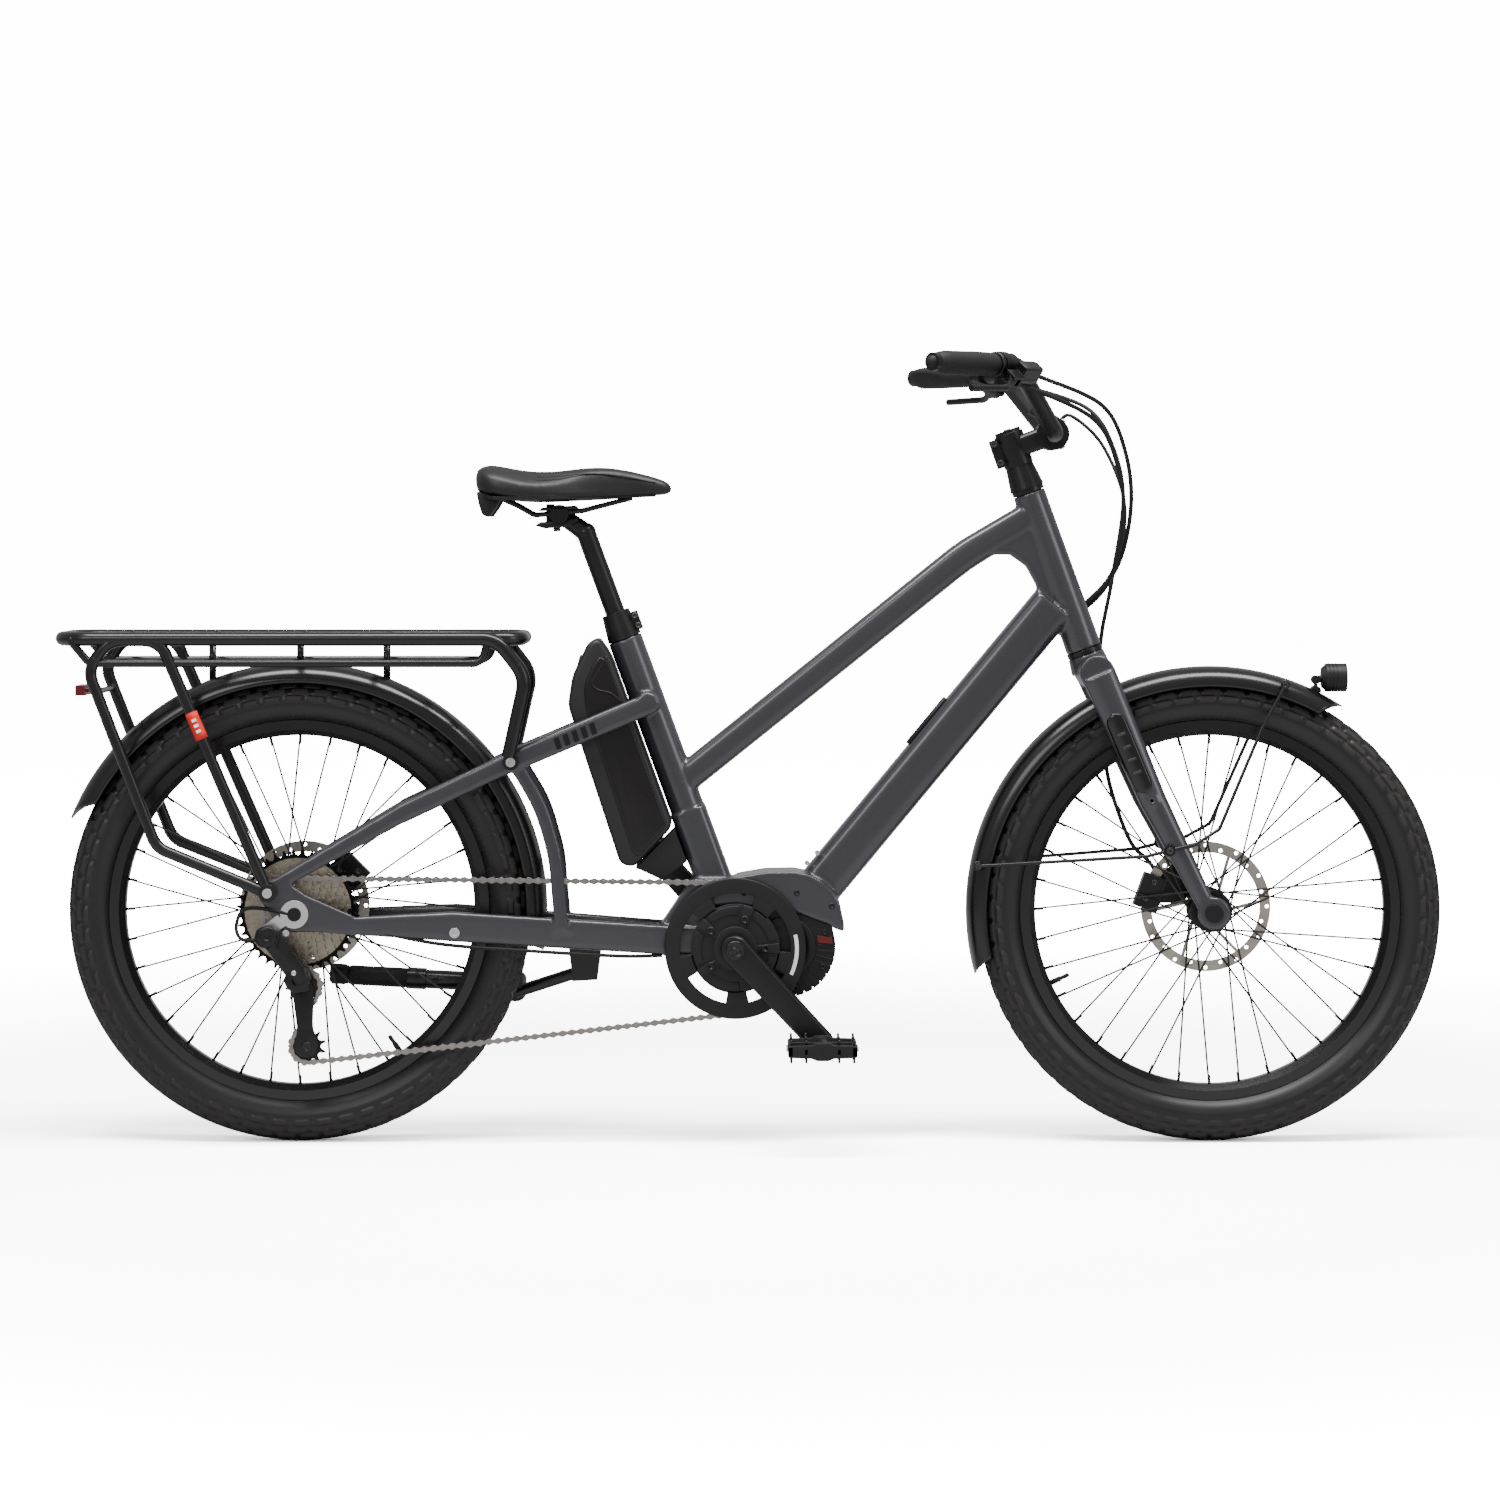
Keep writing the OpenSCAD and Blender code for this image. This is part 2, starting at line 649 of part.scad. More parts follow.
// The hole for a bolt and the room round its head
module bolt_hole(b) {
    rod(b[0] - b[1], b[0] + b[1] * b[4], b[3]);
    rod(b[0] - b[1] * 14, b[0], b[2] + 0.3);
}
module bolt(b) {
    difference() {
        union() {
            rod(b[0] - b[1] * 4, b[0], b[2]);
            rod(b[0], b[0] + b[1] * b[4], b[3]);
        }
        along(b[0] - b[1] * 4.1, b[0]) cylinder(h = 3, r = b[2] * 0.5, $fn = 6);
    }
}
module frame_bolts() { color("#b9b9bb") for (b = frame_bolt_list) bolt(b); }

module headset_cups() {
    color("#1a1a1b") difference() {
        union() {
            rod(axis_at(0), axis_at(cup_h), 25);
            rod(axis_at(cup_h), axis_at(cup_h + 10), head_bore);
            rod(axis_at(head_len - cup_h), axis_at(head_len), 22.5);
            rod(axis_at(head_len - cup_h - 10), axis_at(head_len - cup_h), head_bore);
        }
        rod(axis_at(-1), axis_at(head_len + 1), steerer_r + fit);
    }
}

module motor_housing() {
    ribs = 9;
    color("#1f1f20") difference() {
        union() {
            slab(-motor_half, motor_half) motor_shape(0);
            slab(motor_half, motor_half + 6) translate([motor_at[0], motor_at[2]]) circle(46);
        }
        rod(bb - [0, 60, 0], bb + [0, 60, 0], 13.06);
        for (i = [0:ribs - 1]) spun(motor_at) rotate(i * 11 - 78)
            translate([motor_r - 3, -1.2, -60]) cube([6, 2.4, 120]);
    }
}

module seat_clamp() {
    slot = 2.5;
    color("#242426") difference() {
        union() {
            rod(post_at(seat_len + 0.1), post_at(seat_len + collar_h), seat_r, 19.5);
            placed(seat_fwd, [0, 1, 0], seat_up, post_at(seat_len + 5))
                translate([14, -11, 0]) cube([15, 22, 26]);
        }
        rod(post_at(seat_len - 1), post_at(seat_len + collar_h + 1), post_r + fit);
        placed(seat_fwd, [0, 1, 0], seat_up, post_at(seat_len - 1))
            translate([5, -slot / 2, 0]) cube([30, slot, collar_h + 2]);
    }
}

// ---- Battery ---------------------------------------------------------------------------------------
battery_half = 42;
battery_pivot = [-152, 0, 371];
// A point s along the seat tube from its foot and n ahead of its axis
function behind_seat(s, n) = [
    seat_foot[0] + s * seat_up[0] + n * seat_up[2], seat_foot[2] + s * seat_up[2] - n * seat_up[0]
];
module battery() {
    color("#211e1d") difference() {
        slab(-battery_half, battery_half) polygon([
            [-207, 693], [-222, 687], [-244, 640.5], [-250, 600], [-178, 382], [-158, 378],
            behind_seat(47, -25.8), behind_seat(298, -24.8)
        ]);
        // the carrying recess at the top
        slab(-24, 24) polygon([[-232, 664], [-222, 687], [-228, 694], [-250, 660]]);
    }
}
module battery_mount() {
    color("#1c1b1c") {
        slab(-34, 34) polygon([
            behind_seat(43, -25.1), behind_seat(-5, -25.1), [-121, 361], [-150, 374.5], [-157, 376.6]
        ]);
    }
}

// ---- Rear rack, fender and light ---------------------------------------------------------------------
rack_r = 9.5;
rack_back = -half_length + rack_r;
rack_cross = [-860, -740, -619, -500, -390];
module rear_rack() {
    leg_y = 90.5;
    function deck(s) = [
        on([-329, 73.8, 531], s), on([-305, 75.5, 640], s),
        [-345, s * rack_half, rack_z], [rack_back, s * rack_half, rack_z]
    ];
    a = deck(1);
    b = deck(-1);
    color("#161617") difference() {
        union() {
            bent([a[0], a[1], a[2], a[3], b[3], b[2], b[1], b[0]], rack_r, 42);
            bent([
                [-400, -rack_half + 7, rack_z], [-312.5, -rack_half + 7, rack_z],
                [-312.5, rack_half - 7, rack_z], [-400, rack_half - 7, rack_z]
            ], rack_r, 30);
            for (x = rack_cross) rod([x, -rack_half, rack_z], [x, rack_half, rack_z], 6);
            rod([-889, -rack_half, 620], [-889, rack_half, 620], 4);
            for (s = [-1, 1]) {
                bent([
                    [-926, s * rack_half, rack_z], [-898, s * rack_half, rack_z - 33],
                    [-364, s * rack_half, rack_z - 33], [-357, s * rack_half, rack_z - 3]
                ], 5.5, 18);
                bent([
                    on([-660, leg_y, 350], s), on([-806, 84, 409], s), on([-900, 78.5, 650], s),
                    on([-872, 78.5, rack_z - 2], s), on([-802, 78.5, rack_z - 2], s),
                    on([-657, leg_y, 356], s)
                ], 8, 34);
                rod(rack_boss + [0, s * 82.1, 0], rack_boss + [0, s * 99.5, 0], 12);
                rod(stay_boss + [0, s * 64.3, 0], stay_boss + [0, s * 71, 0], 11);
                rod(stay_boss + [0, s * 69.4, 3], on([-328, 72, 540], s), 4.6);
            }
        }
        for (b = frame_bolt_list) bolt_hole(b);
        for (s = [-1, 1]) slab(s > 0 ? 60 : -82.08, s > 0 ? 82.08 : -60) dropout();
    }
}

fender_t = 2.2;
// Section of a fender with its crown at radius r: half is its half width and deep its depth
function fender_edge(r, half, deep, a) = [r - deep * (1 - cos(a)), half * sin(a)];
function fender_section(r, half, deep) = concat(
    [for (i = [-6:6]) fender_edge(r, half, deep, i * 14.5)],
    [for (i = [-6:6]) fender_edge(r - fender_t, half - fender_t, deep, -i * 14.5)]
);
module fender(c, r, half, deep, from, to) {
    spun(c) rotate(from) rotate_extrude(angle = to - from) polygon(fender_section(r, half, deep));
}
module rear_fender() {
    color("#202123") {
        fender(rear, 340, 38, 26, -8.5, 156.5);
        for (x = [rack_cross[1], rack_cross[2], rack_cross[3]]) {
            top = rear[2] + sqrt(339 * 339 - (x - rear[0]) * (x - rear[0]));
            rod([x, 0, top - 1.8], [x, 0, rack_z - 6.1], 5);
        }
    }
}
module rear_light() {
    color("#7a1518") {
        translate([-925, -30, 613]) cube([13, 60, 14]);
        rod([-914, 0, 620], [-893.4, 0, 620], 4);
    }
}

// ---- Rear brake, stand ---------------------------------------------------------------------------------
module rear_caliper() {
    color("#1b1b1d") {
        translate([-556, 0, 368]) rotate([0, 45, 0]) difference() {
            translate([-24, 47, -17]) cube([48, 17, 34]);
            translate([-40, 55.8, -20]) cube([80, 4.4, 32]);
        }
        for (p = [[-565, 0, 362], [-556, 0, 356]]) rod(p + [0, 63, 0], p + [0, 71.5, 0], 5);
        slab(71, 73.9) polygon([[-540, 352], [-606, 326], [-628, 345], [-566, 388]]);
    }
}

stand_tilt = 35;
stand_axis = [0, cos(stand_tilt), sin(stand_tilt)];
stand_at = [-327, 78, 206.5];
module kickstand_bracket() {
    color("#1d1d1f") {
        difference() {
            slab(41, 60) polygon([[-252, 266], [-206, 262], [-212, 216], [-246, 214]]);
            bar([-112, 36.5, 279], [-410, 62, 300], stay_t + 1.1, 41.1, 6);
        }
        rod([-232, 54, 228], stand_at - stand_axis * 17.5, 8.5);
        rod(stand_at - stand_axis * 20, stand_at - stand_axis * 6.1, 15);
        rod(stand_at - stand_axis * 7, stand_at + stand_axis * 14, 5);
    }
}
module kickstand_leg() {
    color("#19191a") difference() {
        union() {
            rod(stand_at - stand_axis * 6, stand_at + stand_axis * 12, 15);
            rod(stand_at + stand_axis * 5.5, [-460, 80, 214], 11);
            rod([-452, 80, 213.5], [-478, 80, 215], 15);
            rod([-470, 80, 214.5], [-570, 80, 220], 9);
            rod([-566, 80, 220], [-584, 80, 221], 13);
        }
        rod(stand_at - stand_axis * 20, stand_at + stand_axis * 16, 5.06);
    }
}

// ---- Fork, stem and handlebar ---------------------------------------------------------------------------
fork_boss = [547.5, 0, 471];
bar_at = [416, 0, 972];
bar_r = 12;
clamp_r = 15.9;
crown = [474, 0, 645];
fork_half = 55;
blade_out = 70;

// One part of a fork blade: an oval section a1 by b1 at p that turns into one a2 by b2 at q
module blade(p, q, a1, b1, a2, b2) {
    z = unit(q - p);
    x = unit(cross([0, 1, 0], z));
    hull() {
        placed(x, cross(z, x), z, p) scale([a1, b1, 1]) cylinder(h = 1, r = 1, $fn = 32);
        placed(x, cross(z, x), z, q) scale([a2, b2, 1]) cylinder(h = 1, r = 1, $fn = 32);
    }
}

module fork() {
    color("#3f404a") difference() {
        union() {
            rod(axis_at(-26), axis_at(323.8), steerer_r);
            rod(axis_at(-24), axis_at(-0.1), 28, 25);
            rod(crown - [0, 62, 0], crown + [0, 62, 0], 24);
            for (s = [-1, 1]) {
                blade(on([476, 57, 642], s), on([552, 57, 466], s), 24, 12, 18.5, 12);
                blade(on([552, 57, 467], s), on([621, 62, 330], s), 18.5, 12, 12.5, 7.5);
                slab(s > 0 ? fork_half : -blade_out, s > 0 ? blade_out : -fork_half)
                    translate([front[0], front[2]]) circle(22);
                rod(fork_boss + [0, s * 58, 0], fork_boss + [0, s * blade_out, 0], 8);
            }
        }
        rod(front - [0, 80, 0], front + [0, 80, 0], 7.5);
        for (s = [-1, 1]) {
            rod(fork_boss + [0, s * (blade_out - 14), 0], fork_boss + [0, s * (blade_out + 1), 0], 2.5);
        }
        for (b = steering_bolt_list) bolt_hole(b);
    }
}

steering_bolt_list = [
    for (s = [-1, 1]) each [
        [[571, s * 74, 404], [0, -s, 0], 4.5, 2, 10],
        [polar(front, 326, 72, s * 39.2), [0, -s, 0], 4, 2, 3],
        [polar(front, 326, 169, s * 39.2), [0, -s, 0], 4, 2, 3]
    ],
    [[335, -15, 958], [0, 1, 0], 4.5, 2.5, 12],
    [[344, -15, 932], [0, 1, 0], 4.5, 2.5, 12]
];
module steering_bolts() { color("#b9b9bb") for (b = steering_bolt_list) bolt(b); }

module stem() {
    color("#1b1b1d") difference() {
        union() {
            rod(axis_at(head_len + 0.2), axis_at(head_len + 36), 24, 19);
            rod(axis_at(head_len + 34), axis_at(head_len + 80), 20.5);
            rod(axis_at(head_len + 80), axis_at(head_len + 85), 18);
            placed([head_up[2], 0, -head_up[0]], [0, 1, 0], head_up, axis_at(head_len + 38))
                translate([-29, -11, 0]) cube([20, 22, 40]);
            bar(axis_at(head_len + 58), bar_at, 34, 30, 8);
            rod(bar_at - [0, 25, 0], bar_at + [0, 25, 0], 22.5);
        }
        rod(axis_at(head_len - 1), axis_at(head_len + 82.9), steerer_r + fit);
        rod(bar_at - [0, 30, 0], bar_at + [0, 30, 0], clamp_r);
        for (b = steering_bolt_list) bolt_hole(b);
        placed([head_up[2], 0, -head_up[0]], [0, 1, 0], head_up, axis_at(head_len + 35))
            translate([-32, -1.5, 0]) cube([26, 3, 46]);
    }
}

bar_low = bar_at + [0, 62, 0];
bar_bend = bar_at + [-59, 185, bar_rise];
bar_tip = bar_at + [-179, bar_half, bar_rise];
grip_way = unit(bar_tip - bar_bend);
grip_len = norm(bar_tip - bar_bend);
lever_drop = 40;
lever_way = unit(cross(grip_way, [0, 0, 1])) * cos(lever_drop) - [0, 0, sin(lever_drop)];

// Children's +X runs along the grip, +Y points at the lever and the origin is the bar's bend
module cockpit(s) {
    g = on(grip_way, s);
    e = on(lever_way, s);
    placed(g, e, cross(g, e), on(bar_bend, s)) children();
}

module handlebar() {
    color("#1a1a1b") {
        bent([
            on(bar_tip, -1), on(bar_bend, -1), on(bar_low, -1), bar_low, bar_bend, bar_tip
        ], bar_r, 45);
        rod(bar_at - [0, 27, 0], bar_at + [0, 27, 0], clamp_r);
    }
}

module grips() {
    color("#151515") for (s = [-1, 1]) cockpit(s) difference() {
        union() {
            rod([48, 0, 0], [grip_len + 4, 0, 0], 15.5, 16.5);
            translate([grip_len - 46, -30, -4]) cube([46, 26, 8]);
        }
        rod([40, 0, 0], [grip_len + 0.05, 0, 0], bar_r + fit);
    }
}

lever_pin = [44, 32, 0];
module brake_masters() {
    color("#1c1c1e") for (s = [-1, 1]) cockpit(s) {
        difference() {
            union() {
                rod([30, 0, 0], [43, 0, 0], 17.5);
                rod([-10, 25, 0], [40, 25, 0], 9);
                translate([-6, 17, s > 0 ? -19 : 4]) cube([36, 18, 15]);
                translate([30, 22, -9]) cube([21, 17, 18]);
            }
            rod([20, 0, 0], [60, 0, 0], bar_r + fit);
            translate([34.5, 15, -5.2]) cube([30, 30, 10.4]);
        }
        rod(lever_pin - [0, 0, 9], lever_pin + [0, 0, 9], 2.5);
    }
}

module brake_lever(s) {
    color("#1f1f21") cockpit(s) difference() {
        union() {
            rod(lever_pin - [0, 0, 5], lever_pin + [0, 0, 5], 7);
            bent([lever_pin + [3, 2, 0], [74, 51, 0], [152, 54, 0]], 4.6, 25);
        }
        rod(lever_pin - [0, 0, 9], lever_pin + [0, 0, 9], 2.56);
    }
}
module brake_lever_right() { brake_lever(-1); }
module brake_lever_left() { brake_lever(1); }

shift_pin = [22, 12, -36];
module shifter_body() {
    color("#1d1d1f") cockpit(-1) {
        difference() {
            union() {
                rod([16, 0, 0], [28, 0, 0], 16);
                rod([6, 12, -23], [29.8, 12, -23], 11);
            }
            rod([10, 0, 0], [40, 0, 0], bar_r + fit);
        }
        rod(shift_pin + [0, 0, 5], shift_pin - [0, 0, 5], 2.5);
    }
}
module shift_lever() {
    color("#262628") cockpit(-1) difference() {
        union() {
            rod(shift_pin - [0, 0, 2.4], shift_pin + [0, 0, 1.4], 8);
            translate(shift_pin - [0, 0, 2.4]) rotate(-22) translate([0, -6, 0]) cube([44, 12, 3.8]);
        }
        rod(shift_pin - [0, 0, 9], shift_pin + [0, 0, 9], 2.56);
    }
}

module display_unit() {
    at = bar_at + [0, 40, 0];
    color("#151516") difference() {
        union() {
            rod(at - [0, 5, 0], at + [0, 5, 0], 15.5);
            translate(at + [-16, -5, 8]) cube([14, 10, 14]);
            translate(at + [-10, 0, 20]) rotate([0, 25, 0]) translate([-22, -12.6, 0]) cube([44, 29, 12]);
        }
        rod(at - [0, 6, 0], at + [0, 6, 0], bar_r + fit);
    }
}

// Hoses from the brake masters and a cable from the shifter: the first one goes down to the front brake
module control_cables() {
    function from(s, p) = let (g = on(grip_way, s), e = on(lever_way, s))
        on(bar_bend, s) + g * p[0] + e * p[1] + cross(g, e) * p[2];
    color("#111112") {
        bent([
            from(1, [-11, 25, 0]), from(1, [-40, 27, 0]), [500, 92, 985], [528, 78, 880],
            [500, 78, 720], [488, 74, 610], [497, 68, 505], [528, 60, 404],
            [562, 50, 378], [563, 50, 367.6]
        ], 2.5, 9);
        bent([
            from(-1, [-11, 25, 0]), from(-1, [-40, 27, 0]), [496, -90, 985], [530, -30, 890],
            [500, 40, 790], [430, 36, 716]
        ], 2.5, 20);
        bent([
            from(-1, [5, 12, -23]), from(-1, [-30, 26, -20]), [482, -86, 965], [518, -26, 880],
            [492, 46, 780], [424, 38, 706]
        ], 2.5, 20);
    }
}

// ---- Front fender, light and brake ----------------------------------------------------------------------
light_pivot = [779, 0, 634];
module front_fender() {
    color("#202123") {
        difference() {
            fender(front, 335, 37, 26, 58, 194.6);
            for (s = [-1, 1]) for (a = [72, 169]) {
                p = polar(front, 326, a, 0);
                rod(p + [0, s * 25, 0], p + [0, s * 50, 0], 2);
            }
        }
        intersection() {
            rod(front + (crown - front) * 0.91, crown, 9);
            rod(front - [0, 9, 0], front + [0, 9, 0], norm(crown - front) - 24.1);
        }
    }
}
module front_fender_stays() {
    color("#151516") {
        for (s = [-1, 1]) difference() {
            union() {
                bent([
                    [571, s * 71, 404], [606, s * 71, 412], [640, s * 60, 432], [700, s * 47, 570],
                    polar(front, 326, 72, s * 40.5)
                ], 2.5, 12);
                bent([
                    [571, s * 71, 404], [540, s * 71, 396], polar(front, 326, 169, s * 40.5)
                ], 2.5, 12);
                rod([571, s * 69.8, 404], [571, s * 74, 404], 8);
                for (a = [72, 169])
                    rod(polar(front, 326, a, s * 38), polar(front, 326, a, s * 43), 5);
            }
            for (b = steering_bolt_list) bolt_hole(b);
            blade(on([552, 57, 467], s), on([621, 62, 330], s), 18.6, 12.1, 12.6, 7.6);
            fender(front, 335, 37, 26, 58, 194.6);
        }
        // the bracket that carries the headlight
        foot = polar(front, 335, 64, 0);
        difference() {
            union() {
                rod(foot - [0, 9, 0], foot + [0, 9, 0], 7);
                for (s = [-1, 1]) rod(foot + [0, s * 7, 0], light_pivot + [0, s * 7, 0], 1.8);
                for (s = [-1, 1])
                    rod(light_pivot + [0, s * 5.1, 0], light_pivot + [0, s * 8, 0], 6);
            }
            rod(front - [0, 12, 0], front + [0, 12, 0], 335.1);
        }
        rod(light_pivot - [0, 8, 0], light_pivot + [0, 8, 0], 2);
    }
}
module headlight_housing() {
    color("#1a1a1b") difference() {
        union() {
            rod([792, 0, 637], [820, 0, 637], 19.5);
            rod([787, 0, 637], [793.5, 0, 637], 14, 18.9);
            rod(light_pivot - [0, 5, 0], light_pivot + [0, 5, 0], 5.5);
            rod(light_pivot, [792, 0, 637], 4.9);
        }
        rod(light_pivot - [0, 9, 0], light_pivot + [0, 9, 0], 2.06);
        rod([811, 0, 637], [821, 0, 637], 17.5);
    }
}
module headlight_lens() { color("#e8ecef") rod([811, 0, 637], [819, 0, 637], 17.4); }

module front_caliper() {
    color("#1b1b1d") {
        translate([555, 0, 338]) rotate([0, -70, 0]) difference() {
            translate([-24, 31, -17]) cube([48, 24, 34]);
            translate([-40, 40.8, -32]) cube([80, 4.4, 45]);
        }
        difference() {
            slab(49.6, 54.6) polygon([[545, 360], [545, 322], [600, 322], [622, 344], [585, 372]]);
            blade([552, 57, 467], [621, 62, 330], 18.6, 12.1, 12.6, 7.6);
            rod(front, front + [0, 60, 0], 23);
        }
    }
}

// ---- Saddle ---------------------------------------------------------------------------------------------
post_top = post_at(466);
clamp_at = [-262, 0, 862];
function rail(s) = [
    [-163, s * 8, 884.2], [-232, s * 22, 866.3], [-296, s * 22, 860.6],
    [-318, s * 27, 873], [-338, s * 33, 882.2]
];
module seatpost() {
    color("#1a1a1b") difference() {
        union() {
            rod(post_at(200), post_top, post_r);
            translate(post_top) sphere(post_r + 0.6);
            rod(post_top, clamp_at, post_r - 0.4, 11.5);
            rod(clamp_at - [0, 29, 0], clamp_at + [0, 29, 0], 13);
            rod(clamp_at + [-13, 0, -14], clamp_at + [-13, 0, 14], 6);
        }
        for (s = [-1, 1]) rod(rail(s)[1] - [-40, 0, -3.56], rail(s)[2] - [40, 0, 3.56], 3.5);
    }
}
module saddle_rails() {
    color("#2c2c2e") for (s = [-1, 1]) bent(rail(s), 3.5, 12);
}
module saddle_plan(g) {
    polygon([
        [-110 - g, -9 + g], [-116 - g, -17 + g], [-150, -21 + g], [-195, -27 + g], [-235, -44 + g],
        [-272, -66 + g], [-310, -76 + g], [-350, -75 + g], [-368 + g, -62 + g], [-375 + g, -30],
        [-375 + g, 30], [-368 + g, 62 - g], [-350, 75 - g], [-310, 76 - g], [-272, 66 - g],
        [-235, 44 - g], [-195, 27 - g], [-150, 21 - g], [-116 - g, 17 - g], [-110 - g, 9 - g]
    ]);
}
module saddle_cover() {
    color("#1a1a1b") intersection() {
        slab(-90, 90) polygon([
            [-380, 908], [-362, 929], [-330, 926], [-282, 919], [-240, 922], [-205, 923], [-160, 914],
            [-122, 903], [-100, 894], [-114, 891], [-181, 888], [-278, 888], [-345, 886], [-380, 890]
        ]);
        linear_extrude(1000) saddle_plan(0);
    }
}
module saddle_shell() {
    color("#141414") intersection() {
        slab(-90, 90) polygon([
            [-370, 888.5], [-345, 885.8], [-278, 887.9], [-181, 887.9], [-130, 890], [-130, 886],
            [-181, 883.5], [-278, 882], [-345, 881], [-370, 884]
        ]);
        linear_extrude(1000) saddle_plan(5);
    }
}

frame();
motor_housing();
battery_mount();
seat_clamp();
rear_rack();
rear_fender();
rear_light();
rear_caliper();
rear_axle();
derailleur_hanger();
kickstand_bracket();
headset_cups();
frame_bolts();
chain();
derailleur_body();
fork();
stem();
handlebar();
grips();
brake_masters();
shifter_body();
display_unit();
control_cables();
front_fender();
front_fender_stays();
front_caliper();
front_axle();
steering_bolts();
brake_lever_right();
brake_lever_left();
shift_lever();
headlight_housing();
headlight_lens();
front_tyre();
front_rim();
front_spokes();
front_hub();
front_rotor();
rear_tyre();
rear_rim();
rear_spokes();
rear_hub();
rear_rotor();
cassette();
crank_right();
crank_left();
crank_spindle();
chainring();
chain_guard();
pedal_right();
pedal_left();
derailleur_cage();
upper_pulley();
lower_pulley();
seatpost();
saddle_rails();
saddle_shell();
saddle_cover();
kickstand_leg();
battery();
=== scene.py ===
import math

import bpy
import bmesh
import numpy as np
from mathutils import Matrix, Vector


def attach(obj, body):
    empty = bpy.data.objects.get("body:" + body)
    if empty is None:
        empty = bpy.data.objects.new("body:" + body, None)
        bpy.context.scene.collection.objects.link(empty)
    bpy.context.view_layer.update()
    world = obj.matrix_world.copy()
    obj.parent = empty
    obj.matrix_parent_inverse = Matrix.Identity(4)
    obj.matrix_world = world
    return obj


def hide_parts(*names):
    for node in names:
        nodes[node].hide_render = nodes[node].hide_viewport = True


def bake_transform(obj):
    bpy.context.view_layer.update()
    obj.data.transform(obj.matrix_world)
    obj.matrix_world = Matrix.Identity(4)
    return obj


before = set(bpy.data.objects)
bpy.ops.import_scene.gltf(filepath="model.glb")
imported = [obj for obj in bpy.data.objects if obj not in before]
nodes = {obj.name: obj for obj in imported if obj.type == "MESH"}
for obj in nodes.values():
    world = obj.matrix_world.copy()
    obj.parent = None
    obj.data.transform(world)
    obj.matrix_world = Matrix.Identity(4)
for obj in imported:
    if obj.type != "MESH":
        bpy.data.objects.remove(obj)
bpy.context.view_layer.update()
MM = 0.001

# ---- Where things are, in millimetres, as in the CAD ----
FRONT = np.array([632.0, 0, 318])
REAR = np.array([-619.0, 0, 318])
BB = np.array([-20.0, 0, 269])
TYRE_R, TYRE_W = 318.0, 64.0
PITCH, CHAIN_Y = 12.7, -49.0
RING_TEETH, COG_TEETH, PULLEY_TEETH = 44, 23, 11
UPPER, LOWER = np.array([-609.0, 217]), np.array([-605.0, 135])
HEAD_LOW = np.array([462.0, 0, 670])
HEAD_UP = np.array([-math.cos(math.radians(70.6)), 0, math.sin(math.radians(70.6))])
SEAT_FOOT = np.array([-65.0, 0, 399])
SEAT_UP = np.array([-0.3453, 0, 0.9385])
BAR_AT = np.array([416.0, 0, 972])
BAR_BEND = BAR_AT + [-59, 185, 88]
BAR_TIP = BAR_AT + [-179, 322, 88]
CRANK_WAY = np.array([math.cos(math.radians(47)), 0, -math.sin(math.radians(47))])
RACK_HALF, RACK_Z = 78, 692


def unit(v):
    return np.asarray(v, float) / np.linalg.norm(v)


# ---- Materials ----
class Graph:
    """Shader nodes of one material or world, each added in one call with its values and links."""
    def __init__(self, owner):
        self.nodes, self.links = owner.node_tree.nodes, owner.node_tree.links

    def put(self, node, sets):
        for key, value in sets.items():
            if isinstance(value, bpy.types.NodeSocket):
                self.links.new(value, node.inputs[key])
            else:
                node.inputs[key].default_value = value

    def add(self, kind, sets=None, **fields):
        node = self.nodes.new("ShaderNode" + kind)
        for key, value in fields.items():
            setattr(node, key, value)
        self.put(node, sets or {})
        return node

    def mix(self, factor, a, b, **fields):
        node = self.add("Mix", data_type="RGBA", **fields)
        self.put(node, {"Factor": factor, "A": a, "B": b})
        return node.outputs["Result"]

    def bump(self, height, normal, strength, distance):
        sets = {"Height": height, "Normal": normal, "Strength": strength, "Distance": distance}
        return self.add("Bump", sets).outputs["Normal"]


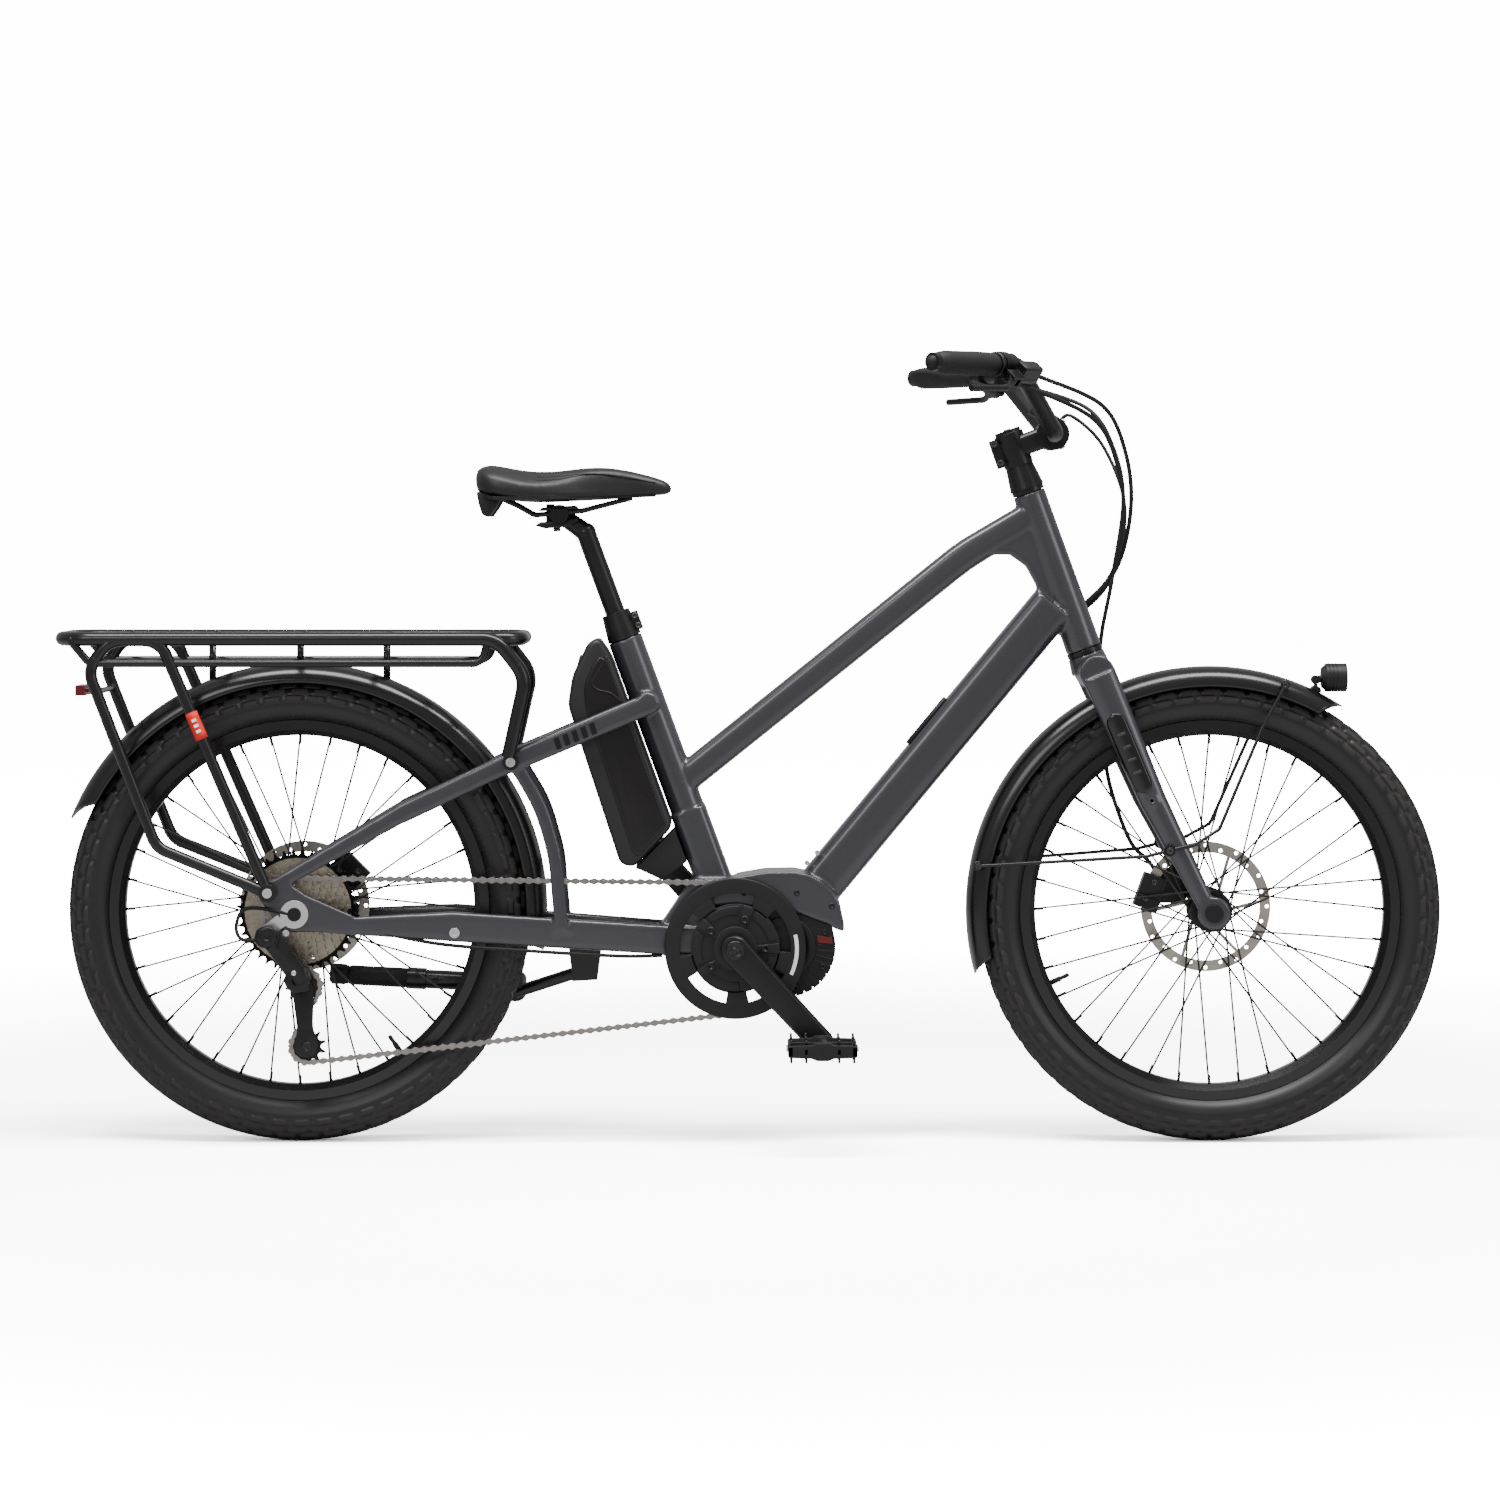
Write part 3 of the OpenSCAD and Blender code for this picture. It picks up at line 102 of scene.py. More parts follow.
def material(name, color, rough, metal=0.0, vary=0.12, vary_scale=30.0, grain=0.0, grain_scale=900.0,
             coat=0.0, bevel=0.7, edge_highlight=0.0, flake=0.0, rough_vary=0.12, extra=None, shine=0.3):
    """A procedural finish: colour and roughness drift, fine grain, rounded edges and a painted highlight that
    lightens the colour along rounded edges.
    """
    m = bpy.data.materials.new(name)
    m.use_nodes = True
    g = Graph(m)
    at = g.add("TexCoord").outputs["Object"]
    drift = g.add("TexNoise", {"Vector": at, "Scale": vary_scale, "Detail": 5}).outputs["Fac"]
    out = g.mix(drift, [c * (1 - vary) for c in color] + [1], [min(1, c * (1 + vary)) for c in color] + [1])
    rounder = g.add("Bevel", {"Radius": bevel * MM}, samples=4).outputs["Normal"]
    # painted highlight: the colour is lightened where the rounded-edge normal leans away from the face,
    # standing in for light glinting along edges
    if edge_highlight:
        dot = g.add("VectorMath", operation="DOT_PRODUCT")
        g.put(dot, {0: rounder, 1: g.add("NewGeometry").outputs["Normal"]})
        edge = g.add("MapRange", {"Value": dot.outputs["Value"], "From Min": 0.97, "From Max": 0.75,
                                  "To Max": edge_highlight})
        out = g.mix(edge.outputs["Result"], out, [min(1, c * 2.2 + 0.03) for c in color] + [1])
    if flake:
        cells = g.add("TexVoronoi", {"Vector": at, "Scale": 2600}).outputs["Color"]
        out = g.mix(flake, out, cells, blend_type="ADD")
    worn = g.add("MapRange", {"Value": drift, "To Min": max(0.03, rough * (1 - rough_vary)),
                              "To Max": min(1, rough * (1 + rough_vary))})
    normal = rounder
    if grain:
        fine = g.add("TexNoise", {"Vector": at, "Scale": grain_scale, "Detail": 3}).outputs["Fac"]
        normal = g.bump(fine, normal, grain, 0.0004)
    if extra:
        normal = extra(g, at, normal)
    g.put(g.nodes["Principled BSDF"], {
        "Base Color": out, "Roughness": worn.outputs["Result"], "Normal": normal, "Metallic": metal,
        "Coat Weight": coat, "Coat Roughness": 0.18, "Specular IOR Level": shine})
    return m


def bumped(kind, scale, strength, distance=0.0004, stretch=(1, 1, 1), **sets):
    """An extra bump layer made from one texture node."""
    def add(g, at, normal):
        spread = g.add("Mapping", {"Vector": at, "Scale": stretch}).outputs["Vector"]
        texture = g.add(kind, {"Vector": spread, "Scale": scale}, **sets)
        return g.bump(texture.outputs[0], normal, strength, distance)
    return add


PAINT = material("frame_paint", (0.0285, 0.0275, 0.0345), 0.34, 0.25, 0.06, 9, 0.06, 1400, 0.7, 2.5, 0.08,
                 0.003)
BLACK = material("black_paint", (0.0058, 0.0050, 0.0054), 0.30, 0.1, 0.15, 25, 0.05, 1600, 0.25, 1.0, 0.05)
ANOD = material("black_anodised", (0.0105, 0.0095, 0.0100), 0.32, 0.5, 0.15, 40, 0.04, 1800, 0, 0.8, 0.12,
                shine=0.5)
PLASTIC = material("black_plastic", (0.0062, 0.0058, 0.0062), 0.50, 0, 0.12, 60, 0.16, 1500, 0, 1.0, 0.03)
GLOSS = material("fender_gloss", (0.0050, 0.0042, 0.0045), 0.24, 0, 0.1, 20, 0.02, 900, 0.25, 0.8, 0.02)
CASE = material("battery_case", (0.0046, 0.0030, 0.0034), 0.30, 0, 0.12, 30, 0.10, 1700, 0.1, 1.4, 0.03)
STRIP = material("battery_strip", (0.0135, 0.0125, 0.0140), 0.42, 0, 0.08, 30, 0.12, 1700, 0, 1.2, 0.03)
MOTOR = material("motor_case", (0.0052, 0.0044, 0.0048), 0.46, 0.1, 0.15, 45, 0.22, 1100, 0, 1.2, 0.05)
RUBBER = material("rubber", (0.0062, 0.0060, 0.0062), 0.62, 0, 0.15, 60, 0.12, 1200, 0, 0.6)
TYRE = material("tyre_rubber", (0.0056, 0.0048, 0.0050), 0.40, 0, 0.2, 26, 0.10, 700, 0, 0.5, 0.02, shine=0.4)
TREAD = material("tyre_tread", (0.0230, 0.0200, 0.0200), 0.74, 0, 0.22, 26, 0.25, 700, 0, 0.5, 0.03)
RIM = material("rim_black", (0.0100, 0.0088, 0.0092), 0.26, 0.45, 0.1, 25, 0.03, 1500, 0.3, 0.7, 0.03,
               shine=0.5)
STEEL = material("brushed_steel", (0.36, 0.335, 0.29), 0.34, 0.95, 0.14, 60, 0.1, 900, 0, 0.3, 0.15,
                 extra=bumped("TexNoise", 350, 0.12, 0.0003, (1, 6, 1)))
DISC = material("brake_disc", (0.42, 0.39, 0.34), 0.36, 0.92, 0.16, 35, 0.12, 1400, 0, 0.3, 0.1)
CHAIN = material("chain_steel", (0.27, 0.25, 0.235), 0.30, 0.95, 0.3, 160, 0.06, 1500, 0, 0.2, 0.2)
SPOKE = material("spoke_steel", (0.030, 0.027, 0.027), 0.50, 0.2, 0.15, 90, 0.02, 1500, 0, 0.2, shine=0.15)
SMALL = material("dark_bolt", (0.075, 0.070, 0.070), 0.30, 0.8, 0.1, 60, 0.05, 1500, 0, 0.5, 0.1)


def two_tone(base, outer, centre, radius):
    """The steel of the smaller cogs turns black beyond radius from the axle."""
    g = Graph(base)
    off = g.add("VectorMath", operation="SUBTRACT")
    g.put(off, {0: g.add("TexCoord").outputs["Object"], 1: (centre[0] * MM, 0, centre[2] * MM)})
    flat = g.add("VectorMath", operation="MULTIPLY")
    g.put(flat, {0: off.outputs["Vector"], 1: (1, 0, 1)})
    reach = g.add("VectorMath", {0: flat.outputs["Vector"]}, operation="LENGTH").outputs["Value"]
    step = g.add("MapRange", {"Value": reach, "From Min": (radius - 0.6) * MM,
                              "From Max": (radius + 0.6) * MM})
    face = g.nodes["Principled BSDF"]
    steel = face.inputs["Base Color"].links[0].from_socket
    g.put(face, {"Base Color": g.mix(step.outputs["Result"], steel, (*outer, 1))})
    return base


COGS = two_tone(material("cassette_steel", (0.30, 0.265, 0.21), 0.36, 0.95, 0.2, 90, 0.1, 900, 0, 0.5, 0.25),
                (0.010, 0.009, 0.009), REAR, 73)
BRIGHT = material("silver_alloy", (0.62, 0.62, 0.63), 0.28, 0.95, 0.08, 60, 0.05, 1500, 0, 0.5, 0.1)
LEATHER = material("saddle_skin", (0.0085, 0.0078, 0.0085), 0.46, 0, 0.12, 22, 0.10, 1600, 0.05, 1.0,
                   extra=bumped("TexVoronoi", 620, 0.16, 0.0004))
GRIP = material("grip_rubber", (0.0068, 0.0064, 0.0068), 0.62, 0, 0.12, 60, 0.1, 1500, 0, 0.6,
                extra=bumped("TexVoronoi", 420, 0.35, 0.0006))
BADGE = material("dark_badge", (0.0028, 0.0028, 0.0032), 0.24, 0, 0.1, 50, 0.02, 1500, 0.3, 0.3)
RED = material("red_tag", (0.62, 0.012, 0.010), 0.55, 0, 0.08, 90, 0, 900, 0, 0.3,
               extra=bumped("TexWave", 520, 0.3, 0.0003))
WHITE = material("white_mark", (0.78, 0.78, 0.77), 0.5, 0, 0.05, 60, 0.05, 1500, 0, 0.2)
DARK_RED = material("red_mark", (0.09, 0.006, 0.006), 0.45, 0, 0.1, 60, 0.05, 1500, 0, 0.2)
LENS_RED = material("red_lens", (0.10, 0.004, 0.005), 0.16, 0, 0.1, 60, 0, 900, 0.6, 0.5,
                    extra=bumped("TexVoronoi", 260, 0.4, 0.0006))
LENS = material("clear_lens", (0.35, 0.37, 0.39), 0.08, 0.3, 0.08, 60, 0, 900, 0.8, 0.4,
                extra=bumped("TexVoronoi", 300, 0.35, 0.0008))

FINISH = {
    PAINT: ["frame", "fork"],
    BLACK: ["rear_rack", "front_fender_stays", "kickstand_bracket", "kickstand_leg", "front_caliper",
            "rear_caliper"],
    ANOD: ["seat_clamp", "stem", "handlebar", "seatpost", "crank_right", "crank_left", "headset_cups",
           "front_hub",
           "rear_hub", "front_axle", "rear_axle", "brake_masters", "brake_lever_right", "brake_lever_left",
           "derailleur_body", "derailleur_cage", "chainring", "saddle_rails"],
    PLASTIC: ["battery_mount", "chain_guard", "shifter_body", "shift_lever", "display_unit",
              "headlight_housing",
              "pedal_right", "pedal_left", "upper_pulley", "lower_pulley", "saddle_shell"],
    MOTOR: ["motor_housing"],
    GLOSS: ["front_fender", "rear_fender"],
    CASE: ["battery"],
    RIM: ["front_rim", "rear_rim"],
    TYRE: ["front_tyre", "rear_tyre"],
    RUBBER: ["control_cables"],
    GRIP: ["grips"],
    LEATHER: ["saddle_cover"],
    STEEL: ["crank_spindle"],
    COGS: ["cassette"],
    DISC: ["front_rotor", "rear_rotor"],
    CHAIN: ["chain"],
    SPOKE: ["front_spokes", "rear_spokes"],
    BRIGHT: ["frame_bolts", "derailleur_hanger"],
    SMALL: ["steering_bolts"],
    LENS: ["headlight_lens"],
    LENS_RED: ["rear_light"],
}
for finish, names in FINISH.items():
    for name in names:
        mesh = nodes[name].data
        mesh.materials.clear()
        mesh.materials.append(finish)


for name in ("front_spokes", "rear_spokes"):
    plump = nodes[name].modifiers.new("plump", "DISPLACE")
    plump.strength = 0.35 * MM
    plump.mid_level = 0


# ---- Mesh helpers ----
def piece(name, verts, faces, mat, body, smooth=True, scale=MM):
    mesh = bpy.data.meshes.new(name)
    mesh.from_pydata([tuple(float(c) * scale for c in v) for v in verts], [], [tuple(f) for f in faces])
    mesh.validate()
    obj = bpy.data.objects.new(name, mesh)
    bpy.context.scene.collection.objects.link(obj)
    mesh.materials.append(mat)
    tidy = bmesh.new()
    tidy.from_mesh(mesh)
    bmesh.ops.recalc_face_normals(tidy, faces=tidy.faces)
    tidy.to_mesh(mesh)
    tidy.free()
    if smooth:
        mesh.shade_smooth()
    if body:
        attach(obj, body)
    return obj


def modify(obj, kind, **sets):
    m = obj.modifiers.new(kind.lower(), kind)
    for k, v in sets.items():
        setattr(m, k, v)
    return m


def settle(obj):
    """Applies every modifier, so that the mesh itself holds what is seen."""
    bpy.context.view_layer.update()
    graph = bpy.context.evaluated_depsgraph_get()
    mesh = bpy.data.meshes.new_from_object(obj.evaluated_get(graph), depsgraph=graph)
    obj.modifiers.clear()
    old = obj.data
    obj.data = mesh
    bpy.data.meshes.remove(old)
    return obj


def soften(obj, width, segments=2, angle=35):
    modify(obj, "BEVEL", width=width * MM, segments=segments, limit_method="ANGLE",
           angle_limit=math.radians(angle), harden_normals=False)
    settle(obj)
    obj.data.shade_smooth()
    return obj


class Shape:
    """Collects vertices and faces of one piece, in millimetres."""

    def __init__(self):
        self.v, self.f = [], []

    def add(self, verts, faces):
        base = len(self.v)
        self.v += [tuple(p) for p in verts]
        self.f += [tuple(i + base for i in f) for f in faces]

    def grid(self, rows, close_u=False, close_v=True, caps=False):
        """rows: a list of rings with the same number of points."""
        n, k = len(rows), len(rows[0])
        faces = []
        for i in range(n if close_u else n - 1):
            for j in range(k if close_v else k - 1):
                a, b = i * k + j, i * k + (j + 1) % k
                c, d = ((i + 1) % n) * k + (j + 1) % k, ((i + 1) % n) * k + j
                faces.append((a, b, c, d))
        if caps:
            faces.append(tuple(range(k)))
            faces.append(tuple((n - 1) * k + j for j in range(k)))
        self.add([p for r in rows for p in r], faces)

    def tube(self, points, radius, sides=12, closed=False, caps=True):
        """A round tube through points; radius is one number or one per point."""
        p = [np.asarray(q, float) for q in points]
        n = len(p)
        radii = radius if isinstance(radius, (list, tuple, np.ndarray)) else [radius] * n
        rows, x = [], None
        for i in range(n):
            a = p[i - 1] if (i or closed) else p[i]
            b = p[(i + 1) % n] if (i < n - 1 or closed) else p[i]
            z = unit(b - a)
            if x is None:
                x = unit(np.cross(z, [0, 0, 1] if abs(z[2]) < 0.9 else [1, 0, 0]))
            x = unit(x - z * np.dot(x, z))
            y = np.cross(z, x)
            rows.append([p[i] + radii[i] * (math.cos(t) * x + math.sin(t) * y)
                         for t in np.linspace(0, 2 * math.pi, sides, endpoint=False)])
        self.grid(rows, close_u=closed, caps=caps and not closed)

    def turned(self, centre, axis, profile, sides=32, closed=False):
        """profile: (radius, distance along axis) pairs, spun about the axis through centre."""
        z = unit(axis)
        x = unit(np.cross(z, [0, 0, 1] if abs(z[2]) < 0.9 else [1, 0, 0]))
        y = np.cross(z, x)
        rows = [[np.asarray(centre) + h * z + r * (math.cos(t) * x + math.sin(t) * y)
                 for t in np.linspace(0, 2 * math.pi, sides, endpoint=False)] for r, h in profile]
        self.grid(rows, close_u=closed, caps=not closed)

    def prism(self, outline, y0, y1, to=None):
        """An outline in X and Z between y0 and y1; to, if given, maps (x, y, z) into place."""
        n = len(outline)
        v = [(x, y, z) for y in (y0, y1) for x, z in outline]
        if to:
            v = [to(q) for q in v]
        f = [tuple(range(n)), tuple(range(n, 2 * n))]
        f += [(i, (i + 1) % n, n + (i + 1) % n, n + i) for i in range(n)]
        self.add(v, f)

    def make(self, name, mat, body, smooth=True):
        return piece(name, self.v, self.f, mat, body, smooth)


def curve_points(points, count, closed=False):
    """Catmull-Rom points through the given ones."""
    p = [np.asarray(q, float) for q in points]
    n = len(p)
    spans = n if closed else n - 1
    out = []
    for i in range(spans):
        a = p[i - 1] if (i or closed) else 2 * p[0] - p[1]
        b, c = p[i], p[(i + 1) % n]
        d = p[(i + 2) % n] if (i + 2 < n or closed) else 2 * p[-1] - p[-2]
        for t in np.linspace(0, 1, count, endpoint=False):
            out.append(0.5 * (2 * b + (c - a) * t + (2 * a - 5 * b + 4 * c - d) * t * t
                              + (3 * b - a - 3 * c + d) * t ** 3))
    if not closed:
        out.append(p[-1])
    return out


def bolt(shape, at, way, r=4.0, tall=3.0, sides=20):
    """A round bolt head with a domed edge and a round socket; it stands on the surface at at."""
    shape.turned(at, way, [(r, -0.3), (r, tall * 0.7), (r * 0.82, tall), (r * 0.5, tall),
                           (r * 0.46, tall * 0.3),
                           (0.01, tall * 0.3)], sides)


def bead(shape, centre, axis, r, thick=1.6, sides=40):
    """A weld bead: a rippled ring about axis."""
    z = unit(axis)
    x = unit(np.cross(z, [0, 1, 0] if abs(z[1]) < 0.9 else [1, 0, 0]))
    y = np.cross(z, x)
    pts = [np.asarray(centre) + r * (math.cos(t) * x + math.sin(t) * y)
           for t in np.linspace(0, 2 * math.pi, sides, endpoint=False)]
    radii = [thick * (1 + 0.18 * math.sin(i * 2.1)) for i in range(sides)]
    shape.tube(pts, radii, 8, closed=True)


# ---- Frame: the CAD solid with its joints blended, as smooth welds ----
def blended(node, name, body, voxel, passes, mat):
    source = nodes[node]
    obj = bpy.data.objects.new(name, source.data.copy())
    bpy.context.scene.collection.objects.link(obj)
    obj.data.materials.clear()
    obj.data.materials.append(mat)
    modify(obj, "WELD", merge_threshold=0.00001)
    modify(obj, "REMESH", mode="VOXEL", voxel_size=voxel * MM, adaptivity=0.0)
    modify(obj, "SMOOTH", factor=0.6, iterations=passes)
    settle(obj)
    obj.data.shade_smooth()
    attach(obj, body)
    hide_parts(node)
    return obj


blended("frame", "frame_shell", "frame", 2.2, 7, PAINT)
blended("fork", "fork_shell", "steering", 1.8, 6, PAINT)

# ---- Tyres ----
def tyre_mesh():
    """A carcass of revolution whose crown carries rows of shallow blocks."""
    blocks, per = 60, 10
    around = blocks * per
    phis = np.concatenate([np.linspace(-148, -92, 8), np.linspace(-89, 89, 63), np.linspace(92, 148, 8)])
    mid, half = TYRE_R - TYRE_W / 2, TYRE_W / 2
    v = np.zeros((around, len(phis), 3))
    for i in range(around):
        a = 2 * math.pi * i / around
        for j, phi in enumerate(phis):
            lift = 0.0
            if abs(phi) <= 70:
                lane = int((phi + 90) // 20)
                across = abs(((phi + 90) % 20.0) - 10) / 10.0
                along = ((i + (per / 2 if lane % 2 else 0)) % per) / per
                lift = 2.2 if across < 0.80 and 0.05 < along < 0.85 else 0.0
            elif abs(phi) <= 88:
                lift = 2.0 if 0.05 < ((i + per * 0.25) % per) / per < 0.85 and abs(phi) > 72 else 0.0
            side = 0.9 if 96 < abs(phi) < 104 else 0.0
            r = half - 2.2 + lift + side
            rad = mid + r * math.cos(math.radians(phi))
            y = r * math.sin(math.radians(phi))
            v[i, j] = (rad * math.cos(a), y, rad * math.sin(a))
    k = len(phis)
    faces = [(i * k + j, i * k + j + 1, ((i + 1) % around) * k + j + 1, ((i + 1) % around) * k + j)
             for i in range(around) for j in range(k - 1)]
    return v.reshape(-1, 3), faces


tyre_v, tyre_f = tyre_mesh()


def tread_faces():
    """Faces that lie on top of a tread block: the furthest out for their place across the tyre."""
    v = np.array(tyre_v)
    mid = TYRE_R - TYRE_W / 2
    rad = np.hypot(v[:, 0], v[:, 2]) - mid
    out = np.hypot(rad, v[:, 1])
    f = np.array(tyre_f)
    return out[f].min(axis=1) > TYRE_W / 2 - 0.9


ON_BLOCK = tread_faces()

for end, at in (("front", FRONT), ("rear", REAR)):
    tyre = piece(f"{end}_tyre_tread", tyre_v, tyre_f, TYRE, None)
    tyre.location = [c * MM for c in at]
    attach(tyre, f"{end}_wheel")
    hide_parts(f"{end}_tyre")
    tyre.data.materials.append(TREAD)
    tyre.data.polygons.foreach_set("material_index", ON_BLOCK.astype(np.int32))
    # spoke nipples, valve and the bolts of the disc
    small = Shape()
    for i in range(36):
        a = math.radians(i * 10)
        y = 3 if i % 2 == 0 else -3
        d = np.array([math.cos(a), 0, math.sin(a)])
        small.tube([at + d * 228 + [0, y * 1.35, 0], at + d * 240.5 + [0, y, 0]], [1.6, 2.1], 8)
    small.make(f"{end}_nipples", ANOD, f"{end}_wheel")
    valve = Shape()
    a = math.radians(205 if end == "front" else 305)
    d = np.array([math.cos(a), 0, math.sin(a)])
    valve.tube([at + d * 241, at + d * 226, at + d * 225, at + d * 214, at + d * 212.5],
               [4.0, 3.6, 2.8, 3.0, 1.6], 12)
    valve.make(f"{end}_valve", RUBBER, f"{end}_wheel")
    bolts = Shape()
    disc_y = 43 if end == "front" else 58
    for i in range(6):
        a = math.radians(i * 60 + 20)
        bolt(bolts, at + [22 * math.cos(a), disc_y + 0.9, 22 * math.sin(a)], (0, 1, 0), 3.2, 1.6, 16)
        bolt(bolts, at + [22 * math.cos(a), disc_y - 0.9, 22 * math.sin(a)], (0, -1, 0), 3.2, 1.4, 16)
    bolts.make(f"{end}_disc_bolts", ANOD, f"{end}_wheel")


# ---- Fenders ----
def build_fender(name, node, body, at, r, half, deep, start, stop, trim_a, trim_b, extra):
    n, k = 150, 28
    outer, inner = [], []
    for i in range(n + 1):
        ring = []
        for side in (0, 1):
            line = []
            for j in range(k + 1):
                s = -1 + 2 * j / k
                lo, hi = start + trim_a * abs(s) ** 1.4, stop - trim_b * abs(s) ** 1.4
                a = math.radians(lo + (hi - lo) * i / n)
                t = abs(s)
                thick = 2.0 * side
                w = (half - thick) * math.copysign(min(1.0, 1.28 * t - 0.28 * t ** 4), s)
                rad = r - thick - deep * t ** 2.6
                line.append(at + [rad * math.cos(a), w, rad * math.sin(a)])
            ring += line if side == 0 else line[::-1]
        outer.append(ring)
    shape = Shape()
    shape.grid(outer, close_v=True, caps=True)
    extra(shape)
    obj = shape.make(name, GLOSS, body)
    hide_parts(node)
    return obj


def front_extra(shape):
    crown = np.array([474.0, 0, 645])
    d = unit(crown - FRONT)
    base = FRONT + d * 334
    shape.tube([base, FRONT + d * 338.8], 8.5, 20)
    for a in (72, 169):
        for s in (-1, 1):
            q = FRONT + [326 * math.cos(math.radians(a)), s * 37, 326 * math.sin(math.radians(a))]
            shape.turned(q, (0, s, 0), [(6.5, -1.5), (6.5, 0.6), (5.5, 1.0)], 20)


def rear_extra(shape):
    for x in (-740.0, -619.0, -500.0):
        top = REAR[2] + math.sqrt(338 ** 2 - (x - REAR[0]) ** 2)
        shape.tube([(x, 0, top - 1), (x, 0, RACK_Z - 6.2)], 5, 16)
        shape.turned((x, 0, top - 1), (x - REAR[0], 0, top - REAR[2]), [(11, -2), (11, 2.2), (9, 3)], 24)


build_fender("front_fender_sheet", "front_fender", "steering", FRONT, 335, 37, 26, 56.5, 195.5, 5, 3.5,
             front_extra)
build_fender("rear_fender_sheet", "rear_fender", "frame", REAR, 340, 38, 26, -9.5, 158.5, 1.5, 6.5,
             rear_extra)


# ---- Saddle ----
def loft_saddle():
    """Rings across the saddle from its nose to its tail: (x, half width, top, edge, underside)."""
    stations = [
        (-107.5, 6, 899.5, 897, 893.5), (-109.5, 12, 903.5, 897, 890.5), (-115, 16.5, 907.5, 898, 888.6),
        (-126, 19, 911.5, 899, 887.8), (-145, 21, 916.5, 900, 886.6), (-175, 24.5, 922.5, 901, 883.5),
        (-205, 30, 924.8, 900, 881.2), (-235, 43, 923.0, 896, 880.2), (-262, 58, 919.5, 893, 878.5),
        (-290, 69, 918.5, 892, 877.5), (-318, 74.5, 921.5, 894, 879), (-345, 75, 927.5, 899, 882.5),
        (-362, 68, 930.5, 904, 886.5), (-372, 54, 928, 907, 891.5), (-376.5, 34, 921.5, 908, 897),
    ]
    rows = []
    for x, w, top, edge, low in stations:
        ring = []
        for t in np.linspace(0, 2 * math.pi, 36, endpoint=False):
            c, s = math.cos(t), math.sin(t)
            y = w * math.copysign(abs(c) ** 0.72, c)
            flat = 0.80 if s > 0 else 0.45
            z = edge + (top - edge if s > 0 else edge - low) * math.copysign(abs(s) ** flat, s)
            if s > 0 and x < -250:
                z -= 4.0 * math.exp(-(y / 13.0) ** 2) * min(1, (-250 - x) / 40)
            ring.append((x, y, z))
        rows.append(ring)
    shape = Shape()
    shape.grid(rows, caps=True)
    return shape


saddle = loft_saddle().make("saddle_pad", LEATHER, None)
modify(saddle, "SUBSURF", levels=2, render_levels=2)
settle(saddle)
modify(saddle, "REMESH", mode="VOXEL", voxel_size=4 * MM, adaptivity=0.0)
settle(saddle)
before = np.array([v.co for v in saddle.data.vertices])
cloth = modify(saddle, "CLOTH")
cloth.settings.use_pressure = True
cloth.settings.uniform_pressure_force = 3.0
cloth.settings.quality = 6
cloth.settings.tension_stiffness = 40
cloth.settings.compression_stiffness = 40
cloth.settings.bending_stiffness = 4
cloth.settings.effector_weights.gravity = 0
for step in range(1, 13):
    bpy.context.scene.frame_set(step)
settle(saddle)
bpy.context.scene.frame_set(1)
after = np.array([v.co for v in saddle.data.vertices])
move = after - before
far = np.linalg.norm(move, axis=1)
cap = 0.0022
move *= np.minimum(1, cap / np.maximum(far, 1e-9))[:, None]
low = np.clip((before[:, 2] - 0.889) / 0.006, 0, 1)[:, None]
new = before + move * low
saddle.data.vertices.foreach_set("co", new.astype(np.float32).ravel())
modify(saddle, "SMOOTH", factor=0.5, iterations=4)
modify(saddle, "SUBSURF", levels=1, render_levels=1)
settle(saddle)
saddle.data.shade_smooth()
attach(saddle, "saddle")
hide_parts("saddle_cover")

seam = Shape()
for s in (-1, 1):
    line = curve_points([(-130, s * 17.2, 905), (-170, s * 22, 913), (-205, s * 26, 917),
                         (-235, s * 36, 916.5),
                         (-262, s * 49, 913.5), (-290, s * 60, 913.0)], 8)
    seam.tube(line, 0.8, 8)
seam.make("saddle_piping", LEATHER, "saddle")
skirt = Shape()
for s in (-1, 1):
    skirt.prism([(-374, 893), (-352, 890), (-340, 884), (-346, 872), (-357, 857), (-366, 861), (-371, 876)],
                s * 40 - 13, s * 40 + 13)
bumper = skirt.make("saddle_bumpers", PLASTIC, "saddle")
soften(bumper, 3, 3)
clamp = Shape()
clamp.prism([(-288, 851), (-296, 846), (-282, 842), (-256, 844), (-236, 852), (-238, 857), (-262, 853)],
            -17, 17)
clamp.prism([(-290, 866), (-286, 871), (-240, 874), (-236, 869)], -29, 29)
hook = clamp.make("saddle_clamp_plates", ANOD, "saddle")
soften(hook, 1.6, 2)
pin = Shape()
bolt(pin, (-266, 0, 843), (0.1, 0, -1), 5, 5)
pin.make("saddle_clamp_bolts", SMALL, "saddle")

# ---- Battery ----
def behind_seat(s, n):
    """A point s along the seat tube from its foot and n ahead of its axis, in X and Z."""
    return (SEAT_FOOT[0] + s * SEAT_UP[0] + n * SEAT_UP[2], SEAT_FOOT[2] + s * SEAT_UP[2] - n * SEAT_UP[0])


BODY = [(-207, 693), (-222, 687), (-244, 640.5), (-250, 600), (-178, 382), (-158, 378),
        behind_seat(47, -25.8), behind_seat(298, -24.8)]


def inset(outline, d):
    """The outline moved inwards by d, with mitred corners; the outline runs anticlockwise or clockwise."""
    n = len(outline)
    pairs = zip(outline, outline[1:] + outline[:1])
    area = sum(a[0] * b[1] - b[0] * a[1] for a, b in pairs)
    sign = 1 if area > 0 else -1
    out = []
    for i in range(n):
        a, b, c = (np.array(outline[(i + k) % n], float) for k in (-1, 0, 1))
        u, w = unit(b - a), unit(c - b)
        nu, nw = np.array([-u[1], u[0]]) * sign, np.array([-w[1], w[0]]) * sign
        m = unit(nu + nw)
        out.append(tuple(b + m * d / max(0.35, float(m @ nu))))
    return out


